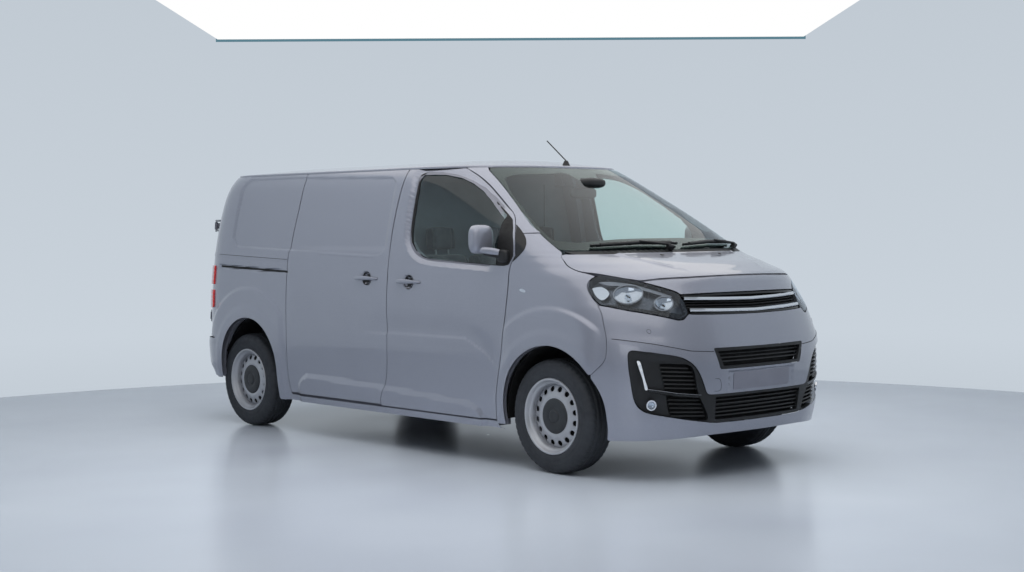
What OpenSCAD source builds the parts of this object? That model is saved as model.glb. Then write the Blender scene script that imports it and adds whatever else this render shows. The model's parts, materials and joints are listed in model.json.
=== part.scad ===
// Panel van: origin under the middle of the body at ground level,
// +X forwards, +Y to the vehicle's left, +Z up, millimetres.

/* [Body] */
// Distance between the front and rear axles
wheelbase = 3275; // [2720:5:3950]
// Front axle to the front face of the bumper
front_overhang = 881; // [860:1:1000]
// Rear axle to the rear face of the bumper
rear_overhang = 803; // [760:1:1200]
// Width of the body without mirrors
body_w = 1920; // [1600:5:2310]
// Height of the roof's crown above the ground
roof_h = 1940; // [1800:5:2330]

/* [Wheels] */
// Outer diameter of a tyre
tyre_d = 690; // [575:1:760]
// Width of a tyre
tyre_w = 215; // [180:1:258]
// Diameter over the rim's flanges
rim_d = 462; // [385:1:500]
// Radius of the hub that a wheel turns on
hub_r = 30; // [25:1:36]
// Body side to the middle of a tyre
track_inset = 146.5; // [122:0.5:175]

/* [Panels] */
// Thickness of the doors and side frames
door_t = 50; // [42:1:60]
// Thickness of the outer skins of wings, bumpers and bonnet
skin_t = 20; // [16:1:24]
// Thickness of the roof with its lining
roof_t = 30; // [25:1:36]
// Thickness of the windscreen and window glass
glass_t = 5; // [4:0.5:6]
// Gap round every panel that opens
shut_gap = 7; // [6:0.5:8.5]

/* [Load space] */
// Height of the load floor above the ground
load_floor_h = 560; // [540:1:670]
// Thickness of the load floor
floor_t = 30; // [25:1:36]
// Thickness of the bulkhead behind the seats
bulkhead_t = 30; // [25:1:36]

/* [Fittings] */
// Length of a number plate
plate_l = 520; // [430:1:624]
// Radius of the roof's antenna mast
antenna_r = 4; // [3:0.5:6]
// Radius of the steering wheel
steering_r = 185; // [155:1:200]

/* [Hidden] */
$fn = 48;

// Running clearance of pins and hubs, and the seam between fixed panels
pin_clear = 0.2;
seam = 0.3;
big = 4000;

half_w = body_w / 2;
front_x = (front_overhang + wheelbase + rear_overhang) / 2;
axle_f = front_x - front_overhang;
axle_r = axle_f - wheelbase;
rear_x = -front_x;
axle_z = tyre_d / 2;
wheel_y = half_w - track_inset;

// Heights over the belt stretch with the roof's height
belt_h = 1320;
design_roof_h = 1940;
function lift(z) = z <= belt_h ? z : belt_h + (z - belt_h) * (roof_h - belt_h) / (design_roof_h - belt_h);

// Body shape at each height: setback of the nose, depth of its corner, power of the
// corner's curve, and inset of the side
NOSE = [
  [200, 84, 560, 2.7, 55], [260, 54, 590, 2.7, 42], [340, 33, 620, 2.7, 28],
  [450, 15, 640, 2.6, 15], [600, 1, 650, 2.6, 5], [680, 0, 655, 2.6, 1],
  [770, 9, 665, 2.6, 0], [870, 32, 690, 2.55, 0], [990, 72, 735, 2.5, 3],
  [1055, 101, 770, 2.45, 7], [1120, 134, 800, 2.4, 12], [1160, 157, 830, 2.4, 16],
  [1185, 184, 840, 2.4, 18], [1205, 229, 830, 2.4, 20], [1230, 314, 790, 2.4, 23],
  [1260, 429, 720, 2.5, 26], [1290, 564, 620, 2.6, 30], [1310, 639, 560, 2.7, 33],
  [1340, 694, 545, 2.7, 38], [1400, 789, 560, 2.75, 48], [1500, 955, 600, 2.8, 67],
  [1600, 1124, 660, 2.8, 90], [1700, 1296, 740, 2.8, 115], [1780, 1436, 800, 2.8, 140],
  [1840, 1544, 840, 2.8, 170], [1880, 1619, 850, 2.8, 200]
];
// Tail at each height: setback from the rear bumper and depth of the corner
TAIL = [
  [200, 140, 520], [300, 80, 520], [375, 50, 520], [450, 5, 520], [600, 0, 520],
  [640, 20, 500], [665, 70, 480], [950, 78, 480], [1250, 84, 480], [1500, 95, 480],
  [1700, 120, 480], [1800, 155, 480], [1880, 200, 480]
];
tail_power = 3;
function column(table, k) = [for (row = table) [row[0], row[k]]];
NOSE_X = column(NOSE, 1);
NOSE_D = column(NOSE, 2);
NOSE_N = column(NOSE, 3);
SIDE_IN = column(NOSE, 4);
TAIL_X = column(TAIL, 1);
TAIL_D = column(TAIL, 2);
function nose_x(z) = front_x - lookup(z, NOSE_X);
function nose_d(z) = lookup(z, NOSE_D);
function nose_n(z) = lookup(z, NOSE_N);
function side_w(z) = half_w - lookup(z, SIDE_IN);
function tail_x(z) = rear_x + lookup(z, TAIL_X);
function tail_d(z) = lookup(z, TAIL_D);
function clamp01(v) = max(0, min(1, v));
function mix(a, b, t) = a + (b - a) * t;
function oval(a, power) = pow(max(0, 1 - pow(clamp01(a), power)), 1 / power);

// Left side of the body at a station and a height
function side_y(x, z) =
  min(side_w(z) * oval((x - nose_x(z) + nose_d(z)) / nose_d(z), nose_n(z)),
      side_w(z) * oval((tail_x(z) + tail_d(z) - x) / tail_d(z), tail_power));
// Front of the body at a distance from the middle
function nose_at(y, z) =
  nose_x(z) - nose_d(z) * (1 - oval(abs(y) / side_w(z), nose_n(z)));
// Rear of the body at a distance from the middle
function tail_at(y, z) =
  tail_x(z) + tail_d(z) * (1 - oval(abs(y) / side_w(z), tail_power));
function on_side(x, z) = [x, side_y(x, z), z];
function on_nose(y, z) = [nose_at(y, z), y, z];
function on_tail(y, z) = [tail_at(y, z), y, z];
// Angle round the nose or tail at which the plan curve reaches a station
function nose_angle(x, z) = acos(pow(clamp01((x - nose_x(z) + nose_d(z)) / nose_d(z)), nose_n(z) / 2));
function nose_turn(angle, z) =
  [nose_x(z) - nose_d(z) * (1 - pow(cos(angle), 2 / nose_n(z))),
   sign(angle) * side_w(z) * pow(abs(sin(angle)), 2 / nose_n(z)), z];
function tail_angle(x, z) = acos(pow(clamp01((tail_x(z) + tail_d(z) - x) / tail_d(z)), tail_power / 2));
function tail_turn(angle, z) =
  [tail_x(z) + tail_d(z) * (1 - pow(cos(angle), 2 / tail_power)),
   sign(angle) * side_w(z) * pow(abs(sin(angle)), 2 / tail_power), z];

function sheet_normal(g, i, j) =
  let (n = len(g) - 1,
       m = len(g[0]) - 1,
       up = g[min(i + 1, n)][j] - g[max(i - 1, 0)][j],
       along = g[i][min(j + 1, m)] - g[i][max(j - 1, 0)],
       c = cross(up, along))
  c / norm(c);
function inset_grid(g, t) =
  [for (i = [0:len(g) - 1]) [for (j = [0:len(g[0]) - 1]) g[i][j] - t * sheet_normal(g, i, j)]];
function lifted(p) = [p[0], p[1], lift(p[2])];

// Closed sheet between two grids; rows run upwards and columns clockwise seen from above
module sheet(outer, inner) {
  n = len(outer);
  m = len(outer[0]);
  k = n * m;
  points = [for (g = [outer, inner]) for (row = g) for (p = row) lifted(p)];
  faces = [
    for (i = [0:n - 2]) for (j = [0:m - 2])
      let (a = i * m + j, b = a + 1, c = b + m, d = a + m)
      each [[a, b, c], [a, c, d], [k + a, k + c, k + b], [k + a, k + d, k + c]],
    for (j = [0:m - 2])
      let (a = j, b = j + 1, c = (n - 1) * m + j, d = c + 1)
      each [[b, a, k + a], [b, k + a, k + b], [c, d, k + d], [c, k + d, k + c]],
    for (i = [0:n - 2])
      let (a = i * m, b = a + m, c = a + m - 1, d = c + m)
      each [[a, b, k + b], [a, k + b, k + a], [d, c, k + c], [d, k + c, k + d]]
  ];
  polyhedron(points, faces);
}
module panel(outer, t) {
  sheet(outer, inset_grid(outer, t));
}
// Outline in side view, pushed through the left side
module side_prism(points, inner = 0, outer = big) {
  translate([0, outer, 0]) rotate([90, 0, 0]) linear_extrude(outer - inner)
    polygon([for (p = points) [p[0], lift(p[1])]]);
}
// Outline in front view, pushed along the van
module front_prism(points, x0, x1) {
  translate([x0, 0, 0]) rotate([90, 0, 90]) linear_extrude(x1 - x0)
    polygon([for (p = points) [p[0], lift(p[1])]]);
}
module block(x0, x1, y0, y1, z0, z1) {
  translate([x0, y0, z0]) cube([x1 - x0, y1 - y0, z1 - z0]);
}
module both() {
  children();
  mirror([0, 1, 0]) children();
}
module rod(from, to, r) {
  v = to - from;
  translate(from) rotate([0, acos(v[2] / norm(v)), atan2(v[1], v[0])]) cylinder(h = norm(v), r = r);
}
module post(x, y, z0, z1, r) {
  translate([x, y, z0]) cylinder(h = z1 - z0, r = r);
}

// Shut lines: height and station, from the front axle for the cab, the rear axle behind it
DOOR_REAR = [
  [250, -1622], [331, -1614], [420, -1571], [522, -1541], [734, -1526], [944, -1532],
  [1397, -1531], [1635, -1521], [1792, -1507], [1880, -1500]
];
DOOR_FRONT = [
  [250, -474], [437, -452], [547, -428], [683, -397], [817, -375], [977, -349], [1110, -338],
  [1214, -335], [1295, -298], [1388, -315], [1475, -359], [1525, -398], [1564, -443],
  [1606, -510], [1688, -647], [1762, -778], [1818, -896], [1861, -1007], [1880, -1060]
];
SLIDER_REAR = [
  [250, 590], [420, 566], [676, 571], [889, 571], [1252, 567], [1404, 581], [1646, 602], [1880, 598]
];
WING_FRONT = [
  [250, 370], [600, 370], [666, 428], [730, 462], [830, 467], [891, 456], [1015, 400], [1031, 380], [1059, 341], [1099, 303], [1150, 284], [1186, 300], [1200, 250],
  [1214, 192], [1241, 113], [1272, 64], [1323, 5], [1340, -20], [1349, -40], [1440, -196]
];
BUMPER_SIDE = [
  [240, 478], [314, 447], [440, 430], [577, 396], [600, 390], [666, 428], [730, 462], [830, 467],
  [891, 456], [1015, 400]
];
function door_rear_x(z) = axle_f + lookup(z, DOOR_REAR);
function door_front_x(z) = axle_f + lookup(z, DOOR_FRONT);
function slider_rear_x(z) = axle_r + lookup(z, SLIDER_REAR);
function wing_front_x(z) = axle_f + lookup(z, WING_FRONT);
function bumper_side_x(z) = axle_f + lookup(z, BUMPER_SIDE);
// Half width of the windscreen and of the bonnet at a height
SCREEN_EDGE = [[1335, 800], [1360, 812], [1440, 810], [1474, 800], [1616, 743], [1667, 711], [1842, 624], [1872, 600]];
BONNET_EDGE = [[1150, 690], [1172, 780], [1193, 838], [1214, 866], [1241, 868], [1272, 856], [1296, 842], [1330, 812]];
// Front edge of the bonnet: half width and height
BONNET_FRONT = [[0, 1184], [176, 1183], [592, 1172], [690, 1160], [697, 1163], [823, 1200], [866, 1214]];
BONNET_COLUMNS = [1, 0.95, 0.88, 0.81, 0.74, 0.6, 0.45, 0.3, 0.15, 0, -0.15, -0.3, -0.45, -0.6, -0.74, -0.81,
                  -0.88, -0.95, -1];
function screen_edge(z) = half_w - 960 + lookup(z, SCREEN_EDGE);
function bonnet_edge(z) = half_w - 960 + lookup(z, BONNET_EDGE);

door_bottom = 285;
roof_rim = 1872;
door_top = roof_rim - shut_gap;
screen_foot = 1335;
bonnet_rear_h = 1312;

// Hinge line of a front door, and the extra room that its upper rear edge needs to swing
door_axis_x = axle_f - 440;
door_axis_y = half_w - 10;
door_pin_r = 4;
DOOR_HINGES = [720, 1000];
swing_room = 0.014;
function swing_gap(z) = shut_gap + swing_room * max(0, z - 1250);
door_taper = 9;
// Gap ahead of the door, measured along the van where its edge slopes
function door_gap(z) = shut_gap * sqrt(1 + pow((door_front_x(z + 15) - door_front_x(z - 15)) / 30, 2));

// Hinge line of a rear door leans in with the body side
rear_axis_x = rear_x + 179.5;
rear_axis_y = half_w - 124;
rear_axis_z = 800;
rear_lean = 4;
rear_pin_r = 6;
REAR_HINGES = [800, 1500];
rear_door_inset = 157;
REAR_DOOR_ROWS = [655, 800, 1000, 1250, 1500, 1700, 1800, 1850];
function rear_door_edge(z) = side_w(z) - rear_door_inset;

// Hinge line of the bonnet, under its rear corners
bonnet_axis_x = axle_f + 6;
bonnet_axis_z = 1294;

flap_x = axle_f - 1700;
flap_z = 880;
flap_size = 180;
flap_t = 12;
flap_axis_y = half_w - 4;
flap_pin_r = 2;

arch_front_x = axle_f + 34;
arch_front_r = 428;
arch_rear_x = axle_r + 78;
arch_rear_z = 447;
arch_rear_r = 366;
wheelhouse_r = 408;
wheelhouse_t = 12;
wheelhouse_in = 490;

kingpin_inset = 220;
kingpin_y = half_w - kingpin_inset;
strut_y = half_w - 370;
rail_out = half_w - 495;
rail_in = half_w - 565;
bulkhead_x = axle_f - 1578.5;
cab_floor_h = 430;
firewall_x = axle_f - 445;
firewall_t = 20;
firewall_top = 1180;
post_in = half_w - 195;
post_out = half_w - 135;
sill_in = half_w - 200;
sill_out = half_w - 96;
sill_h = 420;
load_half = half_w - 60;
post_depth = door_t + 16;

module arch_front_cut() {
  translate([arch_front_x, 0, axle_z]) rotate([-90, 0, 0]) cylinder(h = big, r = arch_front_r);
}
module arch_rear_cut() {
  translate([arch_rear_x, 0, arch_rear_z]) rotate([-90, 0, 0]) cylinder(h = big, r = arch_rear_r);
  block(arch_rear_x - arch_rear_r, arch_rear_x + arch_rear_r, 0, big, 0, arch_rear_z);
  translate([axle_r, half_w - 300, axle_z]) rotate([-90, 0, 0]) cylinder(h = 268, r = tyre_d / 2 + 25);
}

// --- Structure ---

module load_floor() difference() {
  block(rear_x + 150, bulkhead_x, -load_half, load_half, load_floor_h - floor_t, load_floor_h);
  both() block(axle_r - wheelhouse_r - wheelhouse_t - seam,
               arch_rear_x + arch_rear_r + 4 + wheelhouse_t + seam, half_w - 320 - seam, big, 0, big);
  both() block(bulkhead_x - 45, big, side_w(560) - post_depth - 58, big, 0, big);
}
// Plan shape of the tail at one height, drawn in by a margin
module tail_prism(z, margin, z0, z1) {
  translate([0, 0, z0]) linear_extrude(z1 - z0)
    polygon([
      [front_x, side_w(z) - margin],
      for (a = [90:-10:-90])
        [tail_x(z) + margin + tail_d(z) * (1 - pow(cos(a), 2 / tail_power)),
         sign(a) * (side_w(z) - margin) * pow(abs(sin(a)), 2 / tail_power)],
      [front_x, -side_w(z) + margin]
    ]);
}
module floor_pan() color("dimgray") {
  intersection() {
    tail_prism(700, door_t + 8, 0, big);
    load_floor();
  }
  block(bulkhead_x + bulkhead_t, firewall_x, -sill_in + seam, sill_in - seam, cab_floor_h - 30, cab_floor_h);

  block(bulkhead_x, bulkhead_x + bulkhead_t + 1, -sill_in + seam, sill_in - seam, cab_floor_h - 30, load_floor_h - floor_t);
  block(bulkhead_x - 1, bulkhead_x + bulkhead_t, -sill_in + seam, sill_in - seam,
        load_floor_h - floor_t - 20, load_floor_h - floor_t);
  both() {
    block(rear_x + 160, bulkhead_x, rail_in, rail_out, cab_floor_h - 30, load_floor_h - floor_t);
    block(bulkhead_x, front_x - 180, rail_in, rail_out, cab_floor_h - 100, cab_floor_h - 30);
    block(firewall_x + firewall_t, front_x - 180, rail_in, rail_out, cab_floor_h - 30, cab_floor_h + 50);
  }
}

module firewall() color("dimgray") {
  block(firewall_x, firewall_x + firewall_t, -post_in + seam, post_in - seam, cab_floor_h - 30, firewall_top);
  intersection() {
    block(firewall_x, axle_f + 190, -post_in + seam, post_in - seam, firewall_top, firewall_top + 20);
    nose_prism(bonnet_rear_h, 60, 0, big);
  }
}

// Plan shape of the nose at one height, drawn in by a margin
module nose_prism(z, margin, z0, z1) {
  translate([0, 0, z0]) linear_extrude(z1 - z0)
    polygon([
      [rear_x, -side_w(z) + margin],
      for (a = [-90:10:90])
        [nose_x(z) - margin - nose_d(z) * (1 - pow(cos(a), 2 / nose_n(z))),
         sign(a) * (side_w(z) - margin) * pow(abs(sin(a)), 2 / nose_n(z))],
      [rear_x, side_w(z) - margin]
    ]);
}

module bulkhead() color("slategray") {
  top = lift(1845);
  difference() {
    both() front_prism(concat([[-1, load_floor_h - floor_t + seam]],
                              [for (z = [load_floor_h - floor_t + seam, 700, 1000, 1250, 1500, 1770])
                                [side_w(z) - post_depth - 58, z]],
                              [[side_w(1850) - 160, 1772], [side_w(1850) - 160, 1858], [-1, 1858]]),
                       bulkhead_x + seam, bulkhead_x + bulkhead_t);
    block(bulkhead_x + bulkhead_t - 8, big, -520, 520, 1290, top - 60);
  }
}

// Columns round the rear corner
REAR_COLUMNS = [0, 0.06, 0.2, 0.4, 0.6, 0.8, 0.93];
function rear_turn(z) = asin(pow((rear_door_edge(z) + shut_gap + 1) / side_w(z), tail_power / 2));
// Left side: rear quarter, sill, door post and roof rail
module side_frame(front_edge) {
  rows = [345, 380, 420, 480, 600, 655, 760, 870, 1010, 1050, 1195, 1300, 1400, 1550, 1700, 1800, 1838, roof_rim - seam];
  color("silver") difference() {
    panel([for (z = rows)
      let (turn = rear_turn(z), front = front_edge(z), back = tail_x(z) + tail_d(z))
      concat([for (s = REAR_COLUMNS) tail_turn(mix(turn, 90, s), z)],
             [for (s = [0, 0.2, 0.4, 0.6, 0.8, 1]) on_side(mix(back, front, s), z)])], door_t);
    block(-big, rear_x + 430, 0, big, 0, 650);
    arch_rear_cut();
    for (z = REAR_HINGES) rear_hinge_arms(z, rear_pin_r + 1.5 + seam);
  }
}
module side_frame_rails() color("gray") {
  // sill
  block(axle_r + 470, firewall_x - 80, sill_in, sill_out, 240, sill_h);
  block(axle_r + 470, bulkhead_x + bulkhead_t, sill_out - 60, load_half - 18, sill_h, load_floor_h - floor_t - seam);
  // post behind the rear edge of the front door
  difference() {
    panel([for (z = [sill_h - 5, 560, 700, 900, 1100, 1250, 1400, 1550, 1700, 1800, roof_rim - seam])
      [for (s = [0, 1])
        [door_rear_x(z) - 70 + 150 * s, side_w(z) - post_depth, z]]], 50);
    block(-big, big, 0, big, 0, sill_h - 1);
  }
  // hinge post
  block(door_axis_x - 75, door_axis_x + 5, post_in, post_out, sill_h, firewall_top + 20);
  // roof rail
  panel([for (s = [0, 1])
    [for (x = [tail_x(1850) + 420, axle_r + 600, axle_f - 1500])
      [x, side_w(1850) - door_t - 30, mix(1780, roof_rim - seam, s)]]], 60);
}
module side_frame_right() mirror([0, 1, 0]) {
  side_frame(function (z) slider_rear_x(z) - shut_gap);
  side_frame_rails();
}
module side_frame_left() {
  difference() {
    side_frame(function (z) door_rear_x(z) - swing_gap(z));
    block(flap_x - flap_size - shut_gap, flap_x + 2 * shut_gap, half_w - flap_t - 8, big,
          flap_z - shut_gap, flap_z + flap_size + shut_gap);
    post(flap_x + 4, flap_axis_y, flap_z - 20, flap_z + flap_size + 20, flap_pin_r + seam);
  }
  side_frame_rails();
}

module wheelhouses_front() color("black") both() {
  outer_y = side_w(340) - skin_t - 2 * seam;
  inner_y = half_w - wheelhouse_in;
  difference() {
    intersection() {
      translate([arch_front_x, inner_y, axle_z]) rotate([-90, 0, 0])
        cylinder(h = outer_y - inner_y, r = arch_front_r + 2 + wheelhouse_t);
      nose_prism(300, skin_t + 4, 0, big);
    }
    translate([arch_front_x, inner_y - 1, axle_z]) rotate([-90, 0, 0]) cylinder(h = big, r = arch_front_r + 2);
    block(axle_f - big, axle_f + big, 0, big, -big, 300);
    post(axle_f, strut_y, 0, big, 62);
  }
  block(axle_f - 190, axle_f + 190, inner_y - 12, inner_y, cab_floor_h + 50, 900);
  difference() {
    block(axle_f - 190, axle_f + 190, inner_y - 12, strut_y + 90, 888, 900);
    post(axle_f, strut_y, 0, big, 20);
  }
}
// Round the swept tyre and round the arch, which stands a little ahead of the wheel
module wheelhouse_core(y0, y1, margin) {
  translate([axle_r, y0, axle_z]) rotate([-90, 0, 0]) cylinder(h = y1 - y0, r = wheelhouse_r + margin);
  translate([arch_rear_x, y0, arch_rear_z]) rotate([-90, 0, 0])
    cylinder(h = y1 - y0, r = arch_rear_r + 4 + margin);
}
module wheelhouses_rear() color("dimgray") both() {
  wall_y = half_w - 320;
  difference() {
    intersection() {
      wheelhouse_core(wall_y, load_half, wheelhouse_t);
      tail_prism(345, door_t + 6, 0, big);
    }
    wheelhouse_core(wall_y + wheelhouse_t, big, 0);
    block(-big, big, 0, big, -big, 340);
    block(axle_r - 70, axle_r + 70, 0, wall_y + 100, -big, 405);
  }
}

function roof_edge(x) = side_y(x, 1880);
function roof_crown(x) =
  60 * (1 - pow(clamp01((x - axle_f + 1350) / (nose_x(1880) - axle_f + 1350)), 2))
     * (1 - pow(clamp01((axle_r + 180 - x) / (axle_r + 180 - tail_x(1880))), 2));
function roof_grid() =
  let (x0 = tail_x(1880) + 8, x1 = nose_x(1880) - 8)
  [for (x = [x0, x0 + 25, x0 + 80, x0 + 180, x0 + 420, axle_r + 300, axle_r + 900, axle_f - 1800,
             axle_f - 1350, x1 - 420, x1 - 250, x1 - 140, x1 - 70, x1 - 25, x1])
    [for (s = [-1, -0.9, -0.8, -0.6, -0.3, 0, 0.3, 0.6, 0.8, 0.9, 1])
      [x, s * roof_edge(x), 1880 + roof_crown(x) * (1 - s * s)]]];
// Bolt holes for roof bars
rack_x = [axle_f - 3100, axle_f - 1600];
rack_y = half_w - 320;
module roof() color("silver") {
  g = roof_grid();
  difference() {
    sheet(g, [for (row = g) [for (p = row)
      [p[0], p[1], abs(p[1]) > 0.75 * roof_edge(p[0]) ? roof_rim : p[2] - roof_t]]]);
    both() for (x = rack_x) post(x, rack_y, 0, big, 4);
  }
}

// Everything behind the front edge of the door and its gap
module door_clearance() {
  side_prism(concat([[0, 0]], [for (p = DOOR_FRONT) [axle_f + p[1] + door_gap(p[0]), p[0]]], [[0, 1880]]));
}
module windscreen_pillars() color("silver") both() difference() {
  rows = [1420, 1440, 1475, 1525, 1564, 1606, 1688, 1762, 1818, 1850, roof_rim - seam];
  panel([for (z = rows)
    let (x0 = door_front_x(z) + door_gap(z),
         x1 = nose_at(screen_edge(z), z) - 0.5)
    [for (s = [0, 0.5, 1]) on_side(mix(min(x0, x1 - 30), x1, s), z)]], 38);
  block(-big, big, 0, big, 0, lift(1440));
  door_clearance();
}

module windscreen() color("darkslategray") {
  panel([for (z = [screen_foot, 1400, 1500, 1600, 1700, 1780, 1840, roof_rim - seam])
    [for (s = [6:-1:-6]) on_nose(s / 6 * (screen_edge(z) - 1.5), z)]], glass_t);
}

module scuttle() color("black") {
  edge = half_w - 206;
  panel([for (z = [bonnet_rear_h + shut_gap + 7, screen_foot - 1.6])
    [for (s = [6:-1:-6]) on_nose(s / 6 * edge, z)]], 60);
  // tray down to the shelf over the firewall
  front_wall = nose_x(bonnet_rear_h) - 110;
  block(front_wall, front_wall + 15, -500, 500, firewall_top + 20 + seam, bonnet_rear_h - 12);
}

module dashboard() color("darkslategray") {
  u = axle_f;
  back = firewall_x - seam;
  shelf = firewall_top + 20 + seam;
  difference() {
    intersection() {
      side_span(half_w - 200) polygon([
        [back, 760], [u - 560, 820], [u - 610, 1000], [u - 600, 1150], [u - 545, 1220], [u - 200, 1258],
        [u + 60, 1285], [u + 60, shelf], [back, shelf]]);
      nose_prism(bonnet_rear_h, 100, 0, big);
    }
    steering_frame() translate([0, 0, -column_l - 5]) cylinder(h = column_l, r = column_r + pin_clear);
  }
}
// Side-view outline, as wide as the given half width on both sides
module side_span(half) {
  translate([0, half, 0]) rotate([90, 0, 0]) linear_extrude(2 * half) children();
}

column_tilt = 28;
steering_x = axle_f - 745;
steering_y = 400;
steering_z = 1165;
column_l = 220;
column_r = 22;
module steering_frame() {
  translate([steering_x, steering_y, steering_z]) rotate([0, -90 + column_tilt, 0]) children();
}
module steering_wheel() color("black")
  steering_frame() {
    rotate_extrude() translate([steering_r - 14, 0]) circle(r = 14);
    translate([0, 0, -25]) cylinder(h = 30, r = 62);
    for (a = [90, 210, 330]) rotate([0, 0, a])
      translate([55, -14, -14]) cube([steering_r - 65, 28, 12]);
    translate([0, 0, -column_l]) cylinder(h = column_l - 10, r = column_r);
  }

module seat_frames() color("black") {
  x0 = bulkhead_x + bulkhead_t + 160;
  block(x0, x0 + 430, 180, 620, cab_floor_h, 660);
  block(x0, x0 + 430, -700, 60, cab_floor_h, 660);
}
// One seat's cushion, back and head restraint in side view
module seat_profile(x0) {
  polygon([
    [x0 + 110, 660 + seam], [x0 + 610, 660 + seam], [x0 + 650, 700], [x0 + 640, 790], [x0 + 580, 810],
    [x0 + 250, 780], [x0 + 200, 830], [x0 + 150, 1230], [x0 + 120, 1300], [x0 + 60, 1310],
    [x0 + 20, 1280], [x0 + 25, 1200], [x0 + 80, 760]]);
}
module seat_head(x0, y) {
  translate([x0 + 20, y - 130, 1320]) cube([80, 260, 170]);
  for (s = [-60, 60]) post(x0 + 62, y + s, 1290, 1340, 7);
}
module driver_seat() color("dimgray") {
  x0 = bulkhead_x + bulkhead_t + 30;
  translate([0, 400 - 250, 0]) mirror([0, 1, 0]) rotate([90, 0, 0]) linear_extrude(500) seat_profile(x0);
  seat_head(x0, 400);
}
module passenger_bench() color("dimgray") {
  x0 = bulkhead_x + bulkhead_t + 30;
  translate([0, -760, 0]) mirror([0, 1, 0]) rotate([90, 0, 0]) linear_extrude(860) seat_profile(x0);
  seat_head(x0, -540);
  seat_head(x0, -120);
}

// --- Front end ---

module wings() color("silver") both() {
  difference() {
    union() {
      wing_panel();
      block(bonnet_axis_x - 10, bonnet_axis_x + 10, half_w - 143, half_w - 114, bonnet_axis_z - 24, bonnet_axis_z + 8);
    }
    arch_front_cut();
    door_clearance();
    bonnet_pin(half_w - 170, half_w - 129, bonnet_pin_r + seam);
  }
}
module wing_panel() {
    panel([for (z = [262, 340, 450, 547, 600, 666, 730, 830, 891, 1015, 1031, 1059, 1110, 1160, 1192, 1214,
                     1240, 1272, 1300, 1345, 1388, 1440 - seam])
      [for (s = [0, 0.2, 0.4, 0.6, 0.8, 1])
        on_side(mix(door_front_x(z) + door_gap(z), wing_front_x(z) - shut_gap / 2, s), z)]], skin_t);
}

plate_recess = 14;
// Top edge of the bumper: distance from the middle and height
BUMPER_TOP = [[0, 958], [337, 956], [500, 944], [585, 930], [803, 984], [890, 1016], [960, 1010]];
BUMPER_ROWS = [240, 300, 380, 450, 520, 600, 666, 730, 830, 891];
COLUMNS = [12:-1:-12];
function bumper_point(s, z) = nose_turn(s / 12 * (nose_angle(bumper_side_x(z), z) - 0.2), z);
function bumper_grid() = concat(
  [for (z = BUMPER_ROWS) [for (s = COLUMNS) bumper_point(s, z)]],
  [[for (s = COLUMNS) bumper_point(s, lookup(abs(bumper_point(s, 970)[1]), BUMPER_TOP))]]);
function slice(g, i0, i1, margin) =
  [for (i = [i0:i1]) [for (j = [margin:len(g[0]) - 1 - margin]) g[i][j]]];
duct = [[871, 748], [855, 769], [667, 736], [567, 692], [522, 649], [467, 511], [407, 334], [674, 376],
        [801, 415], [830, 451], [855, 534], [871, 640]];
function widened(outline) = [for (p = outline) [p[0] + half_w - 960, p[1]]];
module front_bumper() color("silver") {
  difference() {
    panel(bumper_grid(), skin_t);
    front_prism([[-385, 655], [385, 655], [415, 776], [-415, 776]], 0, big);
    front_prism([[-395, 332], [395, 332], [425, 505], [-425, 505]], 0, big);
    both() front_prism(widened(duct), 0, big);
    front_prism([[-plate_l / 2 - 5, 515], [plate_l / 2 + 5, 515], [plate_l / 2 + 5, 635], [-plate_l / 2 - 5, 635]],
                front_x - plate_recess, big);
  }
  // panel between the bonnet and the grille
  panel([for (r = [0, 0.35, 0.7, 1]) [for (s = [6:-1:-6])
    let (z = mix(1080, 1178 - 27 * s * s / 36 - shut_gap, r), w = mix(515, 668, r) + half_w - 960)
    on_nose(s / 6 * w, z)]], grille_depth - 2.6);
  // beam behind the bumper, carried by the rails
  block(front_x - 180, front_x - 110, -rail_out, rail_out, cab_floor_h - 30, cab_floor_h + 60);
  block(front_x - 111, nose_x(cab_floor_h + 30) - skin_t - 13.5, -60, 60, cab_floor_h + 30, cab_floor_h + 60);
}

grille_depth = 27;
module grilles() color("black") {
  g = bumper_grid();
  sheet(slice(inset_grid(g, skin_t + seam), 1, 8, 2), slice(inset_grid(g, skin_t + seam + 12), 1, 8, 2));
  h = [for (z = [930, 1000, 1090]) [for (s = [6:-1:-6]) on_nose(s / 6 * (half_w - 452), z)]];
  sheet(inset_grid(h, grille_depth), inset_grid(h, grille_depth + 12));
  // stay between the two grilles, behind the bumper
  block(nose_x(930) - 46, nose_x(930) - grille_depth - 6, -60, 60, 780, 965);
  block(nose_x(930) - 46, nose_x(795) - skin_t - 9, -60, 60, 780, 808);
}
module grille_bars() color("whitesmoke") {
  for (z = [990, 1055]) {
    g = [for (r = [-10, 10]) [for (s = [6:-1:-6]) on_nose(s / 6 * (half_w - 438 - (z > 1000 ? 10 : 0)), z + r)]];
    panel(g, grille_depth - (z > 1000 ? seam : 1.4));
  }
}

LAMP_FOOT = [[520, 962], [585, 944], [803, 999], [890, 1032]];
LAMP_TOP = [[520, 1032], [537, 1082], [697, 1150], [823, 1188], [862, 1176], [890, 1130]];
module headlights() color("lightgray") both() {
  panel([for (r = [0, 0.33, 0.67, 1]) [for (y = [881, 862, 823, 770, 697, 620, 560, 528])
    let (z = mix(lookup(y, LAMP_FOOT), lookup(y, LAMP_TOP), r)) on_nose(y + half_w - 960, z)]], 60);
}

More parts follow.
